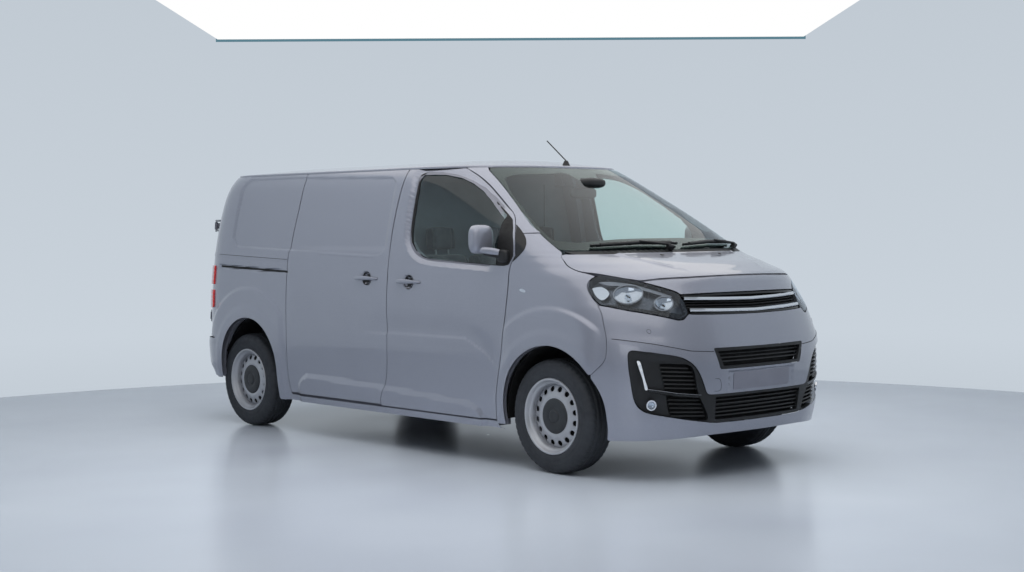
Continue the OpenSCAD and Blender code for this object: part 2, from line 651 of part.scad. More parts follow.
module bonnet() color("silver") {
  panel([for (r = [0, 0.08, 0.2, 0.35, 0.52, 0.7, 0.86, 1]) [for (s = BONNET_COLUMNS)
    let (z = mix(lookup(abs(s) * 866, BONNET_FRONT), bonnet_rear_h, r))
    on_nose(s * (bonnet_edge(mix(1214, bonnet_rear_h, r)) - shut_gap - 5), z)]], skin_t);
  both() difference() {
    side_prism([[bonnet_axis_x - 10, 1284], [bonnet_axis_x - 10, 1304], [bonnet_axis_x + 11, 1306],
                [bonnet_axis_x + 36, 1300], [bonnet_axis_x + 86, 1284], [bonnet_axis_x + 86, 1262],
                [bonnet_axis_x + 36, 1272]], half_w - 161, half_w - 149);
    bonnet_pin(0, big, bonnet_pin_r + pin_clear);
  }
}
bonnet_pin_r = 4;
module bonnet_pin(y0, y1, r) {
  translate([bonnet_axis_x, y0, bonnet_axis_z]) rotate([-90, 0, 0]) cylinder(h = y1 - y0, r = r);
}

module engine() color("gray") {
  block(axle_f + 130, axle_f + 620, -330, 330, 400, 980);
}

module front_subframe() color("dimgray") {
  block(axle_f - 150, axle_f + 150, -rail_out, rail_out, 240, cab_floor_h - 100);
  block(axle_f + 149, axle_f + 620, -200, 200, 300, 400 - seam);
  both() {
    block(axle_f - 40, axle_f + 40, rail_out - 1, kingpin_y - 34, 240, 270);
    block(axle_f - 30, axle_f + 30, kingpin_y - 50, kingpin_y - 32, 182, 269);
    block(axle_f - 30, axle_f + 30, kingpin_y - 33, kingpin_y + 25, 182, 202);
    post(axle_f, kingpin_y, 201, 234, 12);
  }
}

module struts() color("black") both() {
  post(axle_f, strut_y, 520, 930, 19);
  post(axle_f, strut_y, 560, 888 - seam, 52);
  block(axle_f - 26, axle_f + 26, strut_y - 26, kingpin_y + 26, 497, 520);
  post(axle_f, kingpin_y, 463, 500, 12);
}

module knuckle() color("dimgray") difference() {
  union() {
    post(axle_f, kingpin_y, 207, 300, 24);
    post(axle_f, kingpin_y, 290, 400, 34);
    post(axle_f, kingpin_y, 390, 492, 24);
    translate([axle_f, kingpin_y - 20, axle_z]) rotate([-90, 0, 0])
      cylinder(h = wheel_y + 56 - kingpin_y + 20, r = hub_r);
  }
  post(axle_f, kingpin_y, 200, 240, 12 + pin_clear);
  post(axle_f, kingpin_y, 458, 500, 12 + pin_clear);
}
module knuckle_left() knuckle();
module knuckle_right() mirror([0, 1, 0]) knuckle();

// Wheel about the Y axis, its outer face towards +Y
rim_r = rim_d / 2;
rim_w = tyre_w / 2 - 7.5;
module wheel_at(x, side) color("silver")
  translate([x, side * wheel_y, axle_z]) rotate([-90 * side, 0, 0]) rotate_extrude()
    polygon([
      [hub_r + pin_clear, 36], [hub_r + pin_clear, 50], [110, 60], [150, 42], [rim_r - 30, 38],
      [rim_r - 30, rim_w - 12], [rim_r - 12, rim_w - 4], [rim_r, rim_w], [rim_r, rim_w - 8],
      [rim_r - 15, rim_w - 12], [rim_r - 15, 50], [rim_r - 35, 28], [rim_r - 35, -60], [rim_r - 15, 22 - rim_w],
      [rim_r - 15, 12 - rim_w], [rim_r, 8 - rim_w], [rim_r, -rim_w], [rim_r - 20, -rim_w], [rim_r - 24, 14 - rim_w],
      [rim_r - 44, -62], [rim_r - 44, 26], [150, 30], [110, 46], [60, 36]]);
module tyre_at(x, side) color("black")
  translate([x, side * wheel_y, axle_z]) rotate([90, 0, 0]) rotate_extrude() {
    r = tyre_d / 2;
    w = tyre_w / 2;
    bead = rim_r - 15 + seam;
    lip = rim_r + seam;
    polygon([
      [bead, 13 - rim_w], [lip, 9 - rim_w], [lip, 1 - rim_w], [bead + 50, -w], [r - 40, -w + 3], [r - 12, -w + 14],
      [r - 3, -w + 30], [r, 0], [r - 3, w - 30], [r - 12, w - 14], [r - 40, w - 3], [bead + 50, w],
      [lip, rim_w - 1], [lip, rim_w - 9], [bead, rim_w - 13], [bead, rim_w - 24], [bead + 12, w - 30],
      [r - 30, w - 24], [r - 14, 0], [r - 30, -w + 24], [bead + 12, -w + 30], [bead, 24 - rim_w]]);
  }

module rear_axle() color("dimgray") {
  arm = 430;
  translate([axle_r, 0, axle_z]) rotate([-90, 0, 0]) {
    translate([0, 0, -(wheel_y + 56)]) cylinder(h = 2 * (wheel_y + 56), r = hub_r);
    translate([0, 0, -(wheel_y - 70)]) cylinder(h = 2 * (wheel_y - 70), r = 45);
  }
  both() {
    block(axle_r, axle_r + arm, rail_out + 15, rail_out + 65, axle_z - 25, axle_z + 25);
    block(axle_r + arm - 50, axle_r + arm, rail_out + 15, rail_out + 65, axle_z, load_floor_h - floor_t - seam);
    post(axle_r, rail_out + 60, axle_z + 30, load_floor_h - floor_t - seam, 50);
  }
}

// --- Doors ---

WINDOW = [
  [-1371, 1790], [-1368, 1613], [-1357, 1451], [-1334, 1384], [-1281, 1331], [-1199, 1287], [-1165, 1278],
  [-466, 1240], [-428, 1243], [-414, 1262], [-410, 1330], [-413, 1400], [-436, 1464], [-476, 1524],
  [-636, 1634], [-760, 1712], [-880, 1770], [-1000, 1812], [-1150, 1834], [-1340, 1836]];
window_points = [for (p = WINDOW) [p[0] + axle_f, p[1]]];
DOOR_ROWS = [door_bottom, 331, 380, 420, 480, 600, 720, 850, 1000, 1110, 1214, 1240, 1272, 1300, 1345, 1388, 1440, 1475,
             1525, 1564, 1606, 1688, 1762, 1818, door_top];
function door_grid(z_list, depth) = [for (z = z_list)
  let (taper = depth > 0 ? door_taper : 0)
  [for (s = [0, 0.2, 0.4, 0.6, 0.8, 1])
    let (x = mix(door_rear_x(z) + taper, door_front_x(z), s)) [x, side_y(x, z) - depth, z]]];
// Bow handle that stands off the left side
module bow_handle(x, z, length) {
  y = side_w(z);
  block(x - length / 2, x + length / 2, y + 10, y + 26, z - 11, z + 11);
  for (end = [-1, 1]) block(x + end * (length / 2 - 14) - 9, x + end * (length / 2 - 14) + 9, y - 6, y + 12, z - 8, z + 8);
}
module front_door() color("silver") {
  front_door_shell();
  bow_handle(axle_f - 1311, 1122, 250);
}
module front_door_shell() difference() {
  sheet(door_grid(DOOR_ROWS, 0), door_grid(DOOR_ROWS, door_t));
  side_prism(window_points);
  // pockets that clear the hinge arms over the whole swing
  for (z = DOOR_HINGES)
    block(door_axis_x - 14, big, 0, door_axis_y + door_pin_r + 0.5, z - 22, z + 22);
  for (z = DOOR_HINGES) post(door_axis_x, door_axis_y, z - 40, z + 40, door_pin_r + pin_clear);
}
module front_door_left() front_door();
module front_door_right() mirror([0, 1, 0]) front_door();

// Pins and arms that carry the front and rear doors
module door_hinges() color("black") {
  both() for (z = DOOR_HINGES) {
    post(door_axis_x, door_axis_y, z - 36, z + 36, door_pin_r);
    block(door_axis_x - door_pin_r + 0.5, door_axis_x + door_pin_r - 0.5, post_out + seam, door_axis_y, z - 14, z + 14);
  }
  both() for (z = REAR_HINGES) {
    rear_hinge_frame() post(0, 0, z - rear_axis_z - 46, z - rear_axis_z + 46, rear_pin_r);
    rear_hinge_arms(z, rear_pin_r + 1.5);
  }
  both() bonnet_pin(half_w - 168, half_w - 130, bonnet_pin_r);
  post(flap_x + 4, flap_axis_y, flap_z - shut_gap - 2, flap_z + flap_size + shut_gap + 2, flap_pin_r);
}
module rear_hinge_arms(z, r) {
  y = rear_axis_y - (z - rear_axis_z) * tan(rear_lean);
  for (step = [-38, 38])
    rod([rear_axis_x, y, z + step], [tail_at(y + 20, z) + 8, y + 20, z + step], r);
}
module rear_hinge_frame() {
  translate([rear_axis_x, rear_axis_y, rear_axis_z]) rotate([rear_lean, 0, 0]) children();
}

module door_glass() color("darkslategray") intersection() {
  sheet(door_grid([1200, 1300, 1400, 1500, 1606, 1688, 1762, 1838], 12),
        door_grid([1200, 1300, 1400, 1500, 1606, 1688, 1762, 1838], 12 + glass_t));
  side_prism(window_points);
}
module door_glass_left() door_glass();
module door_glass_right() mirror([0, 1, 0]) door_glass();

mirror_x = axle_f - 545;
mirror_out = 142;
module mirror_head() color("silver") {
  hull() {
    translate([mirror_x, half_w + 6, 1330]) sphere(r = 26, $fn = 20);
    translate([mirror_x, half_w + 6, 1450]) sphere(r = 26, $fn = 20);
    translate([mirror_x + 20, half_w + mirror_out - 36, 1345]) sphere(r = 36, $fn = 20);
    translate([mirror_x + 15, half_w + mirror_out - 36, 1460]) sphere(r = 36, $fn = 20);
    translate([mirror_x + 50, half_w + 60, 1400]) sphere(r = 30, $fn = 20);
  }
  rod([mirror_x + 20, half_w + 30, 1335], [axle_f - 372, half_w - 2, 1290], 20);
  block(axle_f - 398, axle_f - 352, side_w(1262) + seam, half_w + 12, 1262, 1314);
}
module mirror_left() mirror_head();
module mirror_right() mirror([0, 1, 0]) mirror_head();

function slider_grid() = [for (z = [door_bottom + 12, 331, 380, 420, 480, 600, 720, 850, 1000, 1120, 1250, 1400, 1550, 1700,
                                    1792, roof_rim - shut_gap])
  [for (s = [0, 0.25, 0.5, 0.75, 1])
    on_side(mix(slider_rear_x(z), door_rear_x(z) - swing_gap(z), s), z)]];
module sliding_door() color("silver") mirror([0, 1, 0]) {
  panel(slider_grid(), door_t);
  bow_handle(axle_f - 1765, 1136, 250);
  // rollers in the sill
  for (x = [slider_rear_x(380) + 160, door_rear_x(380) - 220])
    block(x, x + 40, sill_out, side_w(380) - door_t - seam, 370, 390);
}

module rear_door() color("silver") {
  half = shut_gap / 2;
  panel([for (z = REAR_DOOR_ROWS) [for (s = [0, 0.12, 0.25, 0.4, 0.55, 0.7, 0.85, 0.97, 1])
    on_tail(mix(half, rear_door_edge(z), s), z)]], door_t);
  rear_hinge_frame() for (z = REAR_HINGES) difference() {
    union() {
      post(0, 0, z - rear_axis_z - 28, z - rear_axis_z + 28, 12);
      translate([0, 0, z - rear_axis_z - 22]) rotate([0, 0, -73])
        translate([0, -6, 0]) cube([z > 1000 ? 84 : 68, 12, 44]);
    }
    post(0, 0, z - rear_axis_z - 60, z - rear_axis_z + 60, rear_pin_r + pin_clear);
  }
}
module rear_door_left() rear_door();
module rear_door_right() mirror([0, 1, 0]) rear_door();

// --- Outside fittings ---

module rear_bumper() color("silver") {
  panel([for (z = [345, 375, 450, 520, 600, 640]) [for (s = [12:-1:-12])
    let (p = tail_turn(s / 12 * (tail_angle(rear_x + 425, z)), z)) [p[0], -p[1], z]]], skin_t);
  block(rear_x + 110, rear_x + 160, -rail_out, rail_out, cab_floor_h, load_floor_h - floor_t - seam);
  block(rear_x + 24.3, rear_x + 111, -100, 100, 480, load_floor_h - floor_t - 2);
}

module tail_lights() color("firebrick") both()
  for (span = [[870, 1010], [1050, 1195]]) {
    g = [for (z = span) [for (k = [1:len(REAR_COLUMNS) - 1]) tail_turn(mix(rear_turn(z), 90, REAR_COLUMNS[k]), z)]];
    sheet(inset_grid(g, -12), inset_grid(g, -seam));
  }

module fuel_flap() color("silver") difference() {
  union() {
    block(flap_x - flap_size, flap_x + 3, half_w - flap_t, half_w - 1, flap_z, flap_z + flap_size);
    post(flap_x + 4, flap_axis_y, flap_z, flap_z + flap_size, 4);
  }
  post(flap_x + 4, flap_axis_y, flap_z - 1, flap_z + flap_size + 1, flap_pin_r + pin_clear);
}

module fuel_tank() color("black") {
  block(bulkhead_x - 900, bulkhead_x - 100, rail_out + seam, sill_in - 20, 280, load_floor_h - floor_t - seam);
}

module exhaust() color("gray") {
  y = -120;
  low = cab_floor_h - 115;
  high = cab_floor_h + 28;
  route = [
    [axle_f + 130 - seam, y, high], [axle_f - 200, y, high], [axle_f - 360, y, low], [axle_r + 1000, y, low],
    [axle_r + 560, y, low], [axle_r + 260, y, high], [axle_r - 260, y, high], [rear_x + 260, y, low]];
  for (i = [0:len(route) - 2]) rod(route[i], route[i + 1], i % 2 == 0 ? 24 : 27);
  translate([axle_r + 560, y, low]) rotate([0, 90, 0]) cylinder(h = 460, r = 85);
}

module number_plates() color("white") {
  block(front_x - plate_recess + seam, front_x - 6, -plate_l / 2, plate_l / 2, 520, 630);
}

module antenna() color("black") {
  foot = [axle_f - 795, 0, lift(1880) + 40];
  tip = [axle_f - 978, 0, lift(1880) + 180];
  g = roof_grid();
  rod(foot, tip, antenna_r);
  difference() {
    translate(foot - [0, 0, 60]) cylinder(h = 60, r1 = 40, r2 = 12);
    sheet([for (row = g) [for (p = row) p + [0, 0, seam]]], [for (row = g) [for (p = row) p - [0, 0, 80]]]);
  }
}

floor_pan();
firewall();
bulkhead();
side_frame_right();
side_frame_left();
wheelhouses_front();
wheelhouses_rear();
roof();
windscreen_pillars();
windscreen();
scuttle();
dashboard();
steering_wheel();
seat_frames();
driver_seat();
passenger_bench();
wings();
front_bumper();
grilles();
grille_bars();
headlights();
bonnet();
engine();
front_subframe();
struts();
knuckle_right();
knuckle_left();
wheel_at(axle_f, -1);  // wheel_front_right
wheel_at(axle_f, 1);  // wheel_front_left
wheel_at(axle_r, -1);  // wheel_rear_right
wheel_at(axle_r, 1);  // wheel_rear_left
tyre_at(axle_f, -1);  // tyre_front_right
tyre_at(axle_f, 1);  // tyre_front_left
tyre_at(axle_r, -1);  // tyre_rear_right
tyre_at(axle_r, 1);  // tyre_rear_left
rear_axle();
front_door_right();
front_door_left();
door_glass_right();
door_glass_left();
mirror_right();
mirror_left();
sliding_door();
rear_door_right();
rear_door_left();
door_hinges();
rear_bumper();
tail_lights();
fuel_flap();
fuel_tank();
exhaust();
number_plates();
antenna();
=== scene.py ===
import json
import math
import bmesh
import bpy
import numpy as np
from mathutils import Matrix, Vector
from mathutils.geometry import delaunay_2d_cdt

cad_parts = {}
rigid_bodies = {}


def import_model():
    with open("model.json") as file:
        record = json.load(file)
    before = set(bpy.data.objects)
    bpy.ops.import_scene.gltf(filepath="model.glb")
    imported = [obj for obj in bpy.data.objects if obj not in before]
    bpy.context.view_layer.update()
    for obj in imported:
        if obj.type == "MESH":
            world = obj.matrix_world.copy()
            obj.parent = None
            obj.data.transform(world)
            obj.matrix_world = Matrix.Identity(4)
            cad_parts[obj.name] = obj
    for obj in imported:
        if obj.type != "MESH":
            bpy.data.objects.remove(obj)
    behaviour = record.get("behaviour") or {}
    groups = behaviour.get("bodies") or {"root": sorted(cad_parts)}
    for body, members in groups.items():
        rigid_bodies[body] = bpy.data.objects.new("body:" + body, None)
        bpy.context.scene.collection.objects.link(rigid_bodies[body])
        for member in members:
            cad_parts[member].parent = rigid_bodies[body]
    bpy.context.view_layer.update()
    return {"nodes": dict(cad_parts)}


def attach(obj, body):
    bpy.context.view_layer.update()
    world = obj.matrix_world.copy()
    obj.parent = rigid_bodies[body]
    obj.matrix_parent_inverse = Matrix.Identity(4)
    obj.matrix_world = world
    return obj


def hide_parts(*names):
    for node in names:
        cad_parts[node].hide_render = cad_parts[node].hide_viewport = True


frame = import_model()
COLLECTION = bpy.context.scene.collection

# ---------------------------------------------------------------- body surface
# Millimetres. Nose: height, setback, depth of its corner, power of its curve, inset of the side.
# Tail: height, setback, depth of its corner.
NOSE = np.array([
    [200, 84, 560, 2.7, 55], [260, 54, 590, 2.7, 42], [340, 33, 620, 2.7, 28], [450, 15, 640, 2.6, 15],
    [600, 1, 650, 2.6, 5], [680, 0, 655, 2.6, 1], [770, 9, 665, 2.6, 0], [870, 32, 690, 2.55, 0],
    [990, 72, 735, 2.5, 3], [1055, 101, 770, 2.45, 7], [1120, 134, 800, 2.4, 12], [1160, 157, 830, 2.4, 16],
    [1185, 184, 840, 2.4, 18], [1205, 229, 830, 2.4, 20], [1230, 314, 790, 2.4, 23],
    [1260, 429, 720, 2.5, 26], [1290, 564, 620, 2.6, 30], [1310, 639, 560, 2.7, 33],
    [1340, 694, 545, 2.7, 38], [1400, 789, 560, 2.75, 48], [1500, 955, 600, 2.8, 67],
    [1600, 1124, 660, 2.8, 90], [1700, 1296, 740, 2.8, 115], [1780, 1436, 800, 2.8, 140],
    [1840, 1544, 840, 2.8, 170], [1880, 1619, 850, 2.8, 200]], float)
TAIL = np.array([
    [200, 140, 520], [300, 80, 520], [375, 50, 520], [450, 5, 520], [600, 0, 520], [640, 20, 500],
    [665, 70, 480], [950, 78, 480], [1250, 84, 480], [1500, 95, 480], [1700, 120, 480], [1800, 155, 480],
    [1880, 200, 480]],
                float)
FRONT_X, HALF_W, AXLE_F, AXLE_R, AXLE_Z, WHEEL_Y = 2479.5, 960.0, 1598.5, -1676.5, 345.0, 813.5


def pchip(xs, ys):
    """Smooth curve through the points that never overshoots them."""
    h = np.diff(xs)
    d = np.diff(ys) / h
    m = np.zeros(len(xs))
    for i in range(1, len(xs) - 1):
        if d[i - 1] * d[i] > 0:
            w1, w2 = 2 * h[i] + h[i - 1], h[i] + 2 * h[i - 1]
            m[i] = (w1 + w2) / (w1 / d[i - 1] + w2 / d[i])
    m[0], m[-1] = d[0], d[-1]

    def f(x):
        x = np.clip(np.asarray(x, float), xs[0], xs[-1])
        i = np.clip(np.searchsorted(xs, x) - 1, 0, len(xs) - 2)
        t = (x - xs[i]) / h[i]
        return ((2 * t**3 - 3 * t**2 + 1) * ys[i] + (t**3 - 2 * t**2 + t) * h[i] * m[i]
                + (-2 * t**3 + 3 * t**2) * ys[i + 1] + (t**3 - t**2) * h[i] * m[i + 1])
    return f


nose_back, nose_depth, nose_power, side_in = [pchip(NOSE[:, 0], NOSE[:, k]) for k in (1, 2, 3, 4)]
tail_back, tail_depth = [pchip(TAIL[:, 0], TAIL[:, k]) for k in (1, 2)]


def side_w(z):
    return HALF_W - side_in(z)


def nose_x(z):
    return FRONT_X - nose_back(z)


def tail_x(z):
    return -FRONT_X + tail_back(z)


# Distance round a corner against its angle, and distance up the nose against height
TAIL_POWER = 3.0
MEAN_NOSE_DEPTH, MEAN_NOSE_POWER, MEAN_TAIL_DEPTH, MEAN_HALF_W = 720, 2.5, 480, 957
ANGLES = np.radians(np.linspace(0, 90, 721))


def corner_arc(depth, power):
    """Length along a corner of the body at each of ANGLES."""
    back = depth * (1 - np.cos(ANGLES)**(2 / power))
    across_nose = MEAN_HALF_W * np.sin(ANGLES)**(2 / power)
    return np.concatenate([[0], np.cumsum(np.hypot(np.diff(back), np.diff(across_nose)))])


NOSE_ARC = corner_arc(MEAN_NOSE_DEPTH, MEAN_NOSE_POWER)
TAIL_ARC = corner_arc(MEAN_TAIL_DEPTH, TAIL_POWER)
NOSE_RUN, TAIL_RUN = NOSE_ARC[-1], TAIL_ARC[-1]
HEIGHTS = np.linspace(200, 1880, 1681)
CLIMB = np.concatenate([[0], np.cumsum(np.hypot(np.diff(HEIGHTS), 0.8 * np.diff(nose_x(HEIGHTS))))])


def skin(u, z):
    """Point of the left half of the body: u runs round it from the nose's middle to the tail's."""
    u, z = np.broadcast_arrays(np.asarray(u, float), np.asarray(z, float))
    w, d, n, nx = side_w(z), nose_depth(z), nose_power(z), nose_x(z)
    a = np.interp(np.clip(u, 0, NOSE_RUN), NOSE_ARC, ANGLES)
    x = nx - d * (1 - np.cos(a)**(2 / n))
    y = w * np.sin(a)**(2 / n)
    side = u > NOSE_RUN
    xs = nx - d
    td, tx = tail_depth(z), tail_x(z)
    straight = xs - (u - NOSE_RUN)
    x = np.where(side, straight, x)
    y = np.where(side, w, y)
    back = side & (straight < tx + td)
    r = np.clip(tx + td - straight, 0, TAIL_RUN)
    b = np.interp(TAIL_RUN - r, TAIL_ARC, ANGLES)
    x = np.where(back, tx + td * (1 - np.cos(b)**(2 / TAIL_POWER)), x)
    y = np.where(back, w * np.sin(b)**(2 / TAIL_POWER), y)
    return np.stack([x, y, z], -1)


def u_of(x, y, z):
    """Inverse of skin for a point on or near the body's left half."""
    x, y, z = [np.asarray(k, float) for k in (x, y, z)]
    w, d, n, nx = side_w(z), nose_depth(z), nose_power(z), nose_x(z)
    td, tx = tail_depth(z), tail_x(z)
    sy = np.clip(np.abs(y) / w, 0, 1)
    cx = np.clip((x - nx + d) / d, 0, 1)
    a_y = np.arcsin(np.clip(sy**(n / 2), 0, 1))
    a_x = np.arccos(np.clip(cx**(n / 2), 0, 1))
    a = np.where(a_y < 0.9, a_y, a_x)
    u = np.interp(a, ANGLES, NOSE_ARC)
    u = np.where(x < nx - d, NOSE_RUN + (nx - d) - x, u)
    ct = np.clip((tx + td - x) / td, 0, 1)
    b_y = np.arcsin(np.clip(sy**(TAIL_POWER / 2), 0, 1))
    b_x = np.arccos(np.clip(ct**(TAIL_POWER / 2), 0, 1))
    b = np.where(b_y < 0.9, b_y, b_x)
    back = x < tx + td
    return np.where(back, NOSE_RUN + (nx - d) - (tx + td) + TAIL_RUN - np.interp(b, ANGLES, TAIL_ARC), u)


def v_of(z):
    return np.interp(z, HEIGHTS, CLIMB)


def z_of(v):
    return np.interp(v, CLIMB, HEIGHTS)


def no_field(x, y, z):
    return np.zeros_like(x)


def base(s, v):
    """Point of the plain body surface; s is signed, positive on the left."""
    p = skin(np.abs(s), z_of(v))
    p[..., 1] *= np.where(np.asarray(s) < 0, -1.0, 1.0)
    return p


def unit(n):
    """Unit vectors, or straight back where the very middle of the tail folds onto itself."""
    size = np.linalg.norm(n, axis=-1, keepdims=True)
    return np.where(size > 1e-9, n / np.maximum(size, 1e-9), [-1.0, 0.0, 0.0])


def base_normal(s, v):
    e = 2.0
    n = np.cross(base(s, v + e) - base(s, v - e), base(s + e, v) - base(s - e, v))
    return unit(-n)


def surface(s, v, field, offset):
    p = base(s, v)
    return p + base_normal(s, v) * (field(p[..., 0], np.abs(p[..., 1]), p[..., 2]) + offset)[..., None]


def surface_normal(s, v, field):
    e = 2.0
    n = -np.cross(surface(s, v + e, field, 0.0) - surface(s, v - e, field, 0.0),
                  surface(s + e, v, field, 0.0) - surface(s - e, v, field, 0.0))
    return unit(n)


# ---------------------------------------------------------------- outlines
def spline(points, step=14.0):
    """Smooth open curve through the points."""
    p = np.array(points, float)
    if len(p) == 2:
        n = max(2, int(np.linalg.norm(p[1] - p[0]) / step) + 1)
        return p[0] + (p[1] - p[0]) * np.linspace(0, 1, n)[:, None]
    t = np.concatenate([[0], np.cumsum(np.linalg.norm(np.diff(p, axis=0), axis=1)**0.5)])
    m = np.zeros_like(p)
    for k in range(1, len(p) - 1):
        a, b = t[k] - t[k - 1], t[k + 1] - t[k]
        m[k] = ((p[k] - p[k - 1]) / a * b + (p[k + 1] - p[k]) / b * a) / (a + b)
    m[0] = 1.5 * (p[1] - p[0]) / (t[1] - t[0]) - 0.5 * m[1]
    m[-1] = 1.5 * (p[-1] - p[-2]) / (t[-1] - t[-2]) - 0.5 * m[-2]
    out = [p[:1]]
    for k in range(len(p) - 1):
        h = t[k + 1] - t[k]
        n = max(1, int(round(np.linalg.norm(p[k + 1] - p[k]) / step)))
        q = (np.arange(1, n + 1) / n)[:, None]
        out.append((2 * q**3 - 3 * q**2 + 1) * p[k] + (q**3 - 2 * q**2 + q) * h * m[k]
                   + (3 * q**2 - 2 * q**3) * p[k + 1] + (q**3 - q**2) * h * m[k + 1])
    return np.concatenate(out)


def resample(p, step):
    """Closed loop with points about a step apart."""
    q = np.vstack([p, p[:1]])
    d = np.concatenate([[0], np.cumsum(np.linalg.norm(np.diff(q, axis=0), axis=1))])
    n = max(8, int(d[-1] / step))
    t = np.linspace(0, d[-1], n, endpoint=False)
    return np.stack([np.interp(t, d, q[:, k]) for k in (0, 1)], 1)


def fillet(loop, r, passes=1):
    """Rounds the corners of a closed dense loop by averaging along a window of r millimetres."""
    if r <= 0:
        return loop
    step = 3.0
    p = resample(loop, step)
    k = max(1, int(r / step / 1.6))
    w = np.ones(2 * k + 1) / (2 * k + 1)
    for _ in range(passes + 1):
        ext = np.vstack([p[-k:], p, p[:k]])
        p = np.stack([np.convolve(ext[:, c], w, "valid") for c in (0, 1)], 1)
    return p


def loop_of(*curves, r=0.0):
    p = np.vstack(curves)
    keep = np.linalg.norm(p - np.roll(p, 1, axis=0), axis=1) > 0.5
    return fillet(p[keep], r)


def area(p):
    return 0.5 * np.sum(p[:, 0] * np.roll(p[:, 1], -1) - p[:, 1] * np.roll(p[:, 0], -1))


def shrink(p, d):
    """Moves a closed loop inwards by d millimetres."""
    t = np.roll(p, -1, axis=0) - np.roll(p, 1, axis=0)
    t /= np.maximum(np.linalg.norm(t, axis=1, keepdims=True), 1e-6)
    n = np.stack([-t[:, 1], t[:, 0]], 1) * np.sign(area(p))
    return p + n * d


def through(points, step, smooth):
    """Smooth curve through the points, or straight stretches between them."""
    p = np.array(points, float)
    if smooth:
        return spline(p, step)
    return np.vstack([spline(p[k:k + 2], step) for k in range(len(p) - 1)])


def side(points, step=14.0, smooth=True):
    """Curve on the left side from stations and heights."""
    q = through(points, step, smooth)
    x, z = q[:, 0], q[:, 1]
    d, n, nx = nose_depth(z), nose_power(z), nose_x(z)
    td, tx = tail_depth(z), tail_x(z)
    a = np.arccos(np.clip(np.clip((x - nx + d) / d, 0, 1)**(n / 2), 0, 1))
    u = np.where(x < nx - d, NOSE_RUN + nx - d - x, np.interp(a, ANGLES, NOSE_ARC))
    b = np.arccos(np.clip(np.clip((tx + td - x) / td, 0, 1)**(TAIL_POWER / 2), 0, 1))
    u = np.where(x < tx + td, NOSE_RUN + nx - d - tx - td + TAIL_RUN - np.interp(b, ANGLES, TAIL_ARC), u)
    return np.stack([u, v_of(z)], 1)


def nose(points, step=14.0, smooth=True):
    """Curve on the nose from distances from the middle and heights."""
    q = through(points, step, smooth)
    y, z = q[:, 0], q[:, 1]
    a = np.arcsin(np.clip(np.abs(y) / side_w(z), 0, 1)**(nose_power(z) / 2))
    return np.stack([np.sign(y) * np.interp(a, ANGLES, NOSE_ARC), v_of(z)], 1)


def tail(points, step=14.0, smooth=True):
    """Curve on the tail from distances from the middle and heights."""
    q = through(points, step, smooth)
    y, z = q[:, 0], q[:, 1]
    b = np.arcsin(np.clip(np.abs(y) / side_w(z), 0, 1)**(TAIL_POWER / 2))
    full = NOSE_RUN + nose_x(z) - nose_depth(z) - tail_x(z) - tail_depth(z) + TAIL_RUN
    return np.stack([full - np.interp(b, ANGLES, TAIL_ARC), v_of(z)], 1)


def free(points, step=14.0):
    """Curve on the left half from points in space near the surface."""
    q = spline(np.array(points, float), step)
    return np.stack([u_of(q[:, 0], q[:, 1], q[:, 2]), v_of(q[:, 2])], 1)


def mirror_loop(half):
    """Closes a curve that starts and ends at the middle with its mirror image."""
    return np.vstack([half, (half * [-1, 1])[::-1][1:-1]])


# ---------------------------------------------------------------- shells
def inside(points, loop):
    x, y = points[:, 0], points[:, 1]
    hit = np.zeros(len(points), bool)
    x0, y0 = loop[:, 0], loop[:, 1]
    x1, y1 = np.roll(x0, -1), np.roll(y0, -1)
    for a, b, c, d in zip(x0, y0, x1, y1):
        if b == d:
            continue
        m = ((b > y) != (d > y)) & (x < (c - a) * (y - b) / (d - b) + a)
        hit ^= m
    return hit


def near(points, loop, r):
    out = np.zeros(len(points), bool)
    for k in range(len(loop)):
        out |= np.sum((points - loop[k])**2, axis=1) < r * r
    return out


def triangulate(loops, step):
    """Triangles that fill the first loop, less the others, with even points inside."""
    lo, hi = loops[0].min(0), loops[0].max(0)
    gx = np.arange(lo[0] + step / 2, hi[0], step)
    gy = np.arange(lo[1] + step / 2, hi[1], step * 0.866)
    g = np.array([(x + (step / 2 if j % 2 else 0), y) for j, y in enumerate(gy) for x in gx])
    if len(g):
        ok = inside(g, loops[0])
        for h in loops[1:]:
            ok &= ~inside(g, h)
        g = g[ok]
        for h in loops:
            if len(g):
                g = g[~near(g, h, step * 0.55)]
    pts = [Vector(p) for loop in loops for p in loop] + [Vector(p) for p in g]
    edges, k = [], 0
    for loop in loops:
        n = len(loop)
        edges += [(k + i, k + (i + 1) % n) for i in range(n)]
        k += n
    co, _, faces, *_ = delaunay_2d_cdt(pts, edges, [], 0, 1e-4)
    co = np.array([(p.x, p.y) for p in co])
    faces = np.array([f for f in faces if len(f) == 3])
    mid = co[faces].mean(1)
    ok = inside(mid, loops[0])
    for h in loops[1:]:
        ok &= ~inside(mid, h)
    return co, faces[ok]


def face_up(co, tri):
    """Turns the triangles that run clockwise, in place."""
    a = co[tri]
    b, c = a[:, 1] - a[:, 0], a[:, 2] - a[:, 0]
    turn = b[:, 0] * c[:, 1] - b[:, 1] * c[:, 0]
    tri[turn < 0] = tri[turn < 0][:, ::-1]


def rim_of(tri):
    """Edges that only one triangle uses."""
    e = np.vstack([tri[:, [0, 1]], tri[:, [1, 2]], tri[:, [2, 0]]])
    key = dict.fromkeys((int(i), int(j)) for i, j in e)
    return np.array([(i, j) for i, j in key if (j, i) not in key])


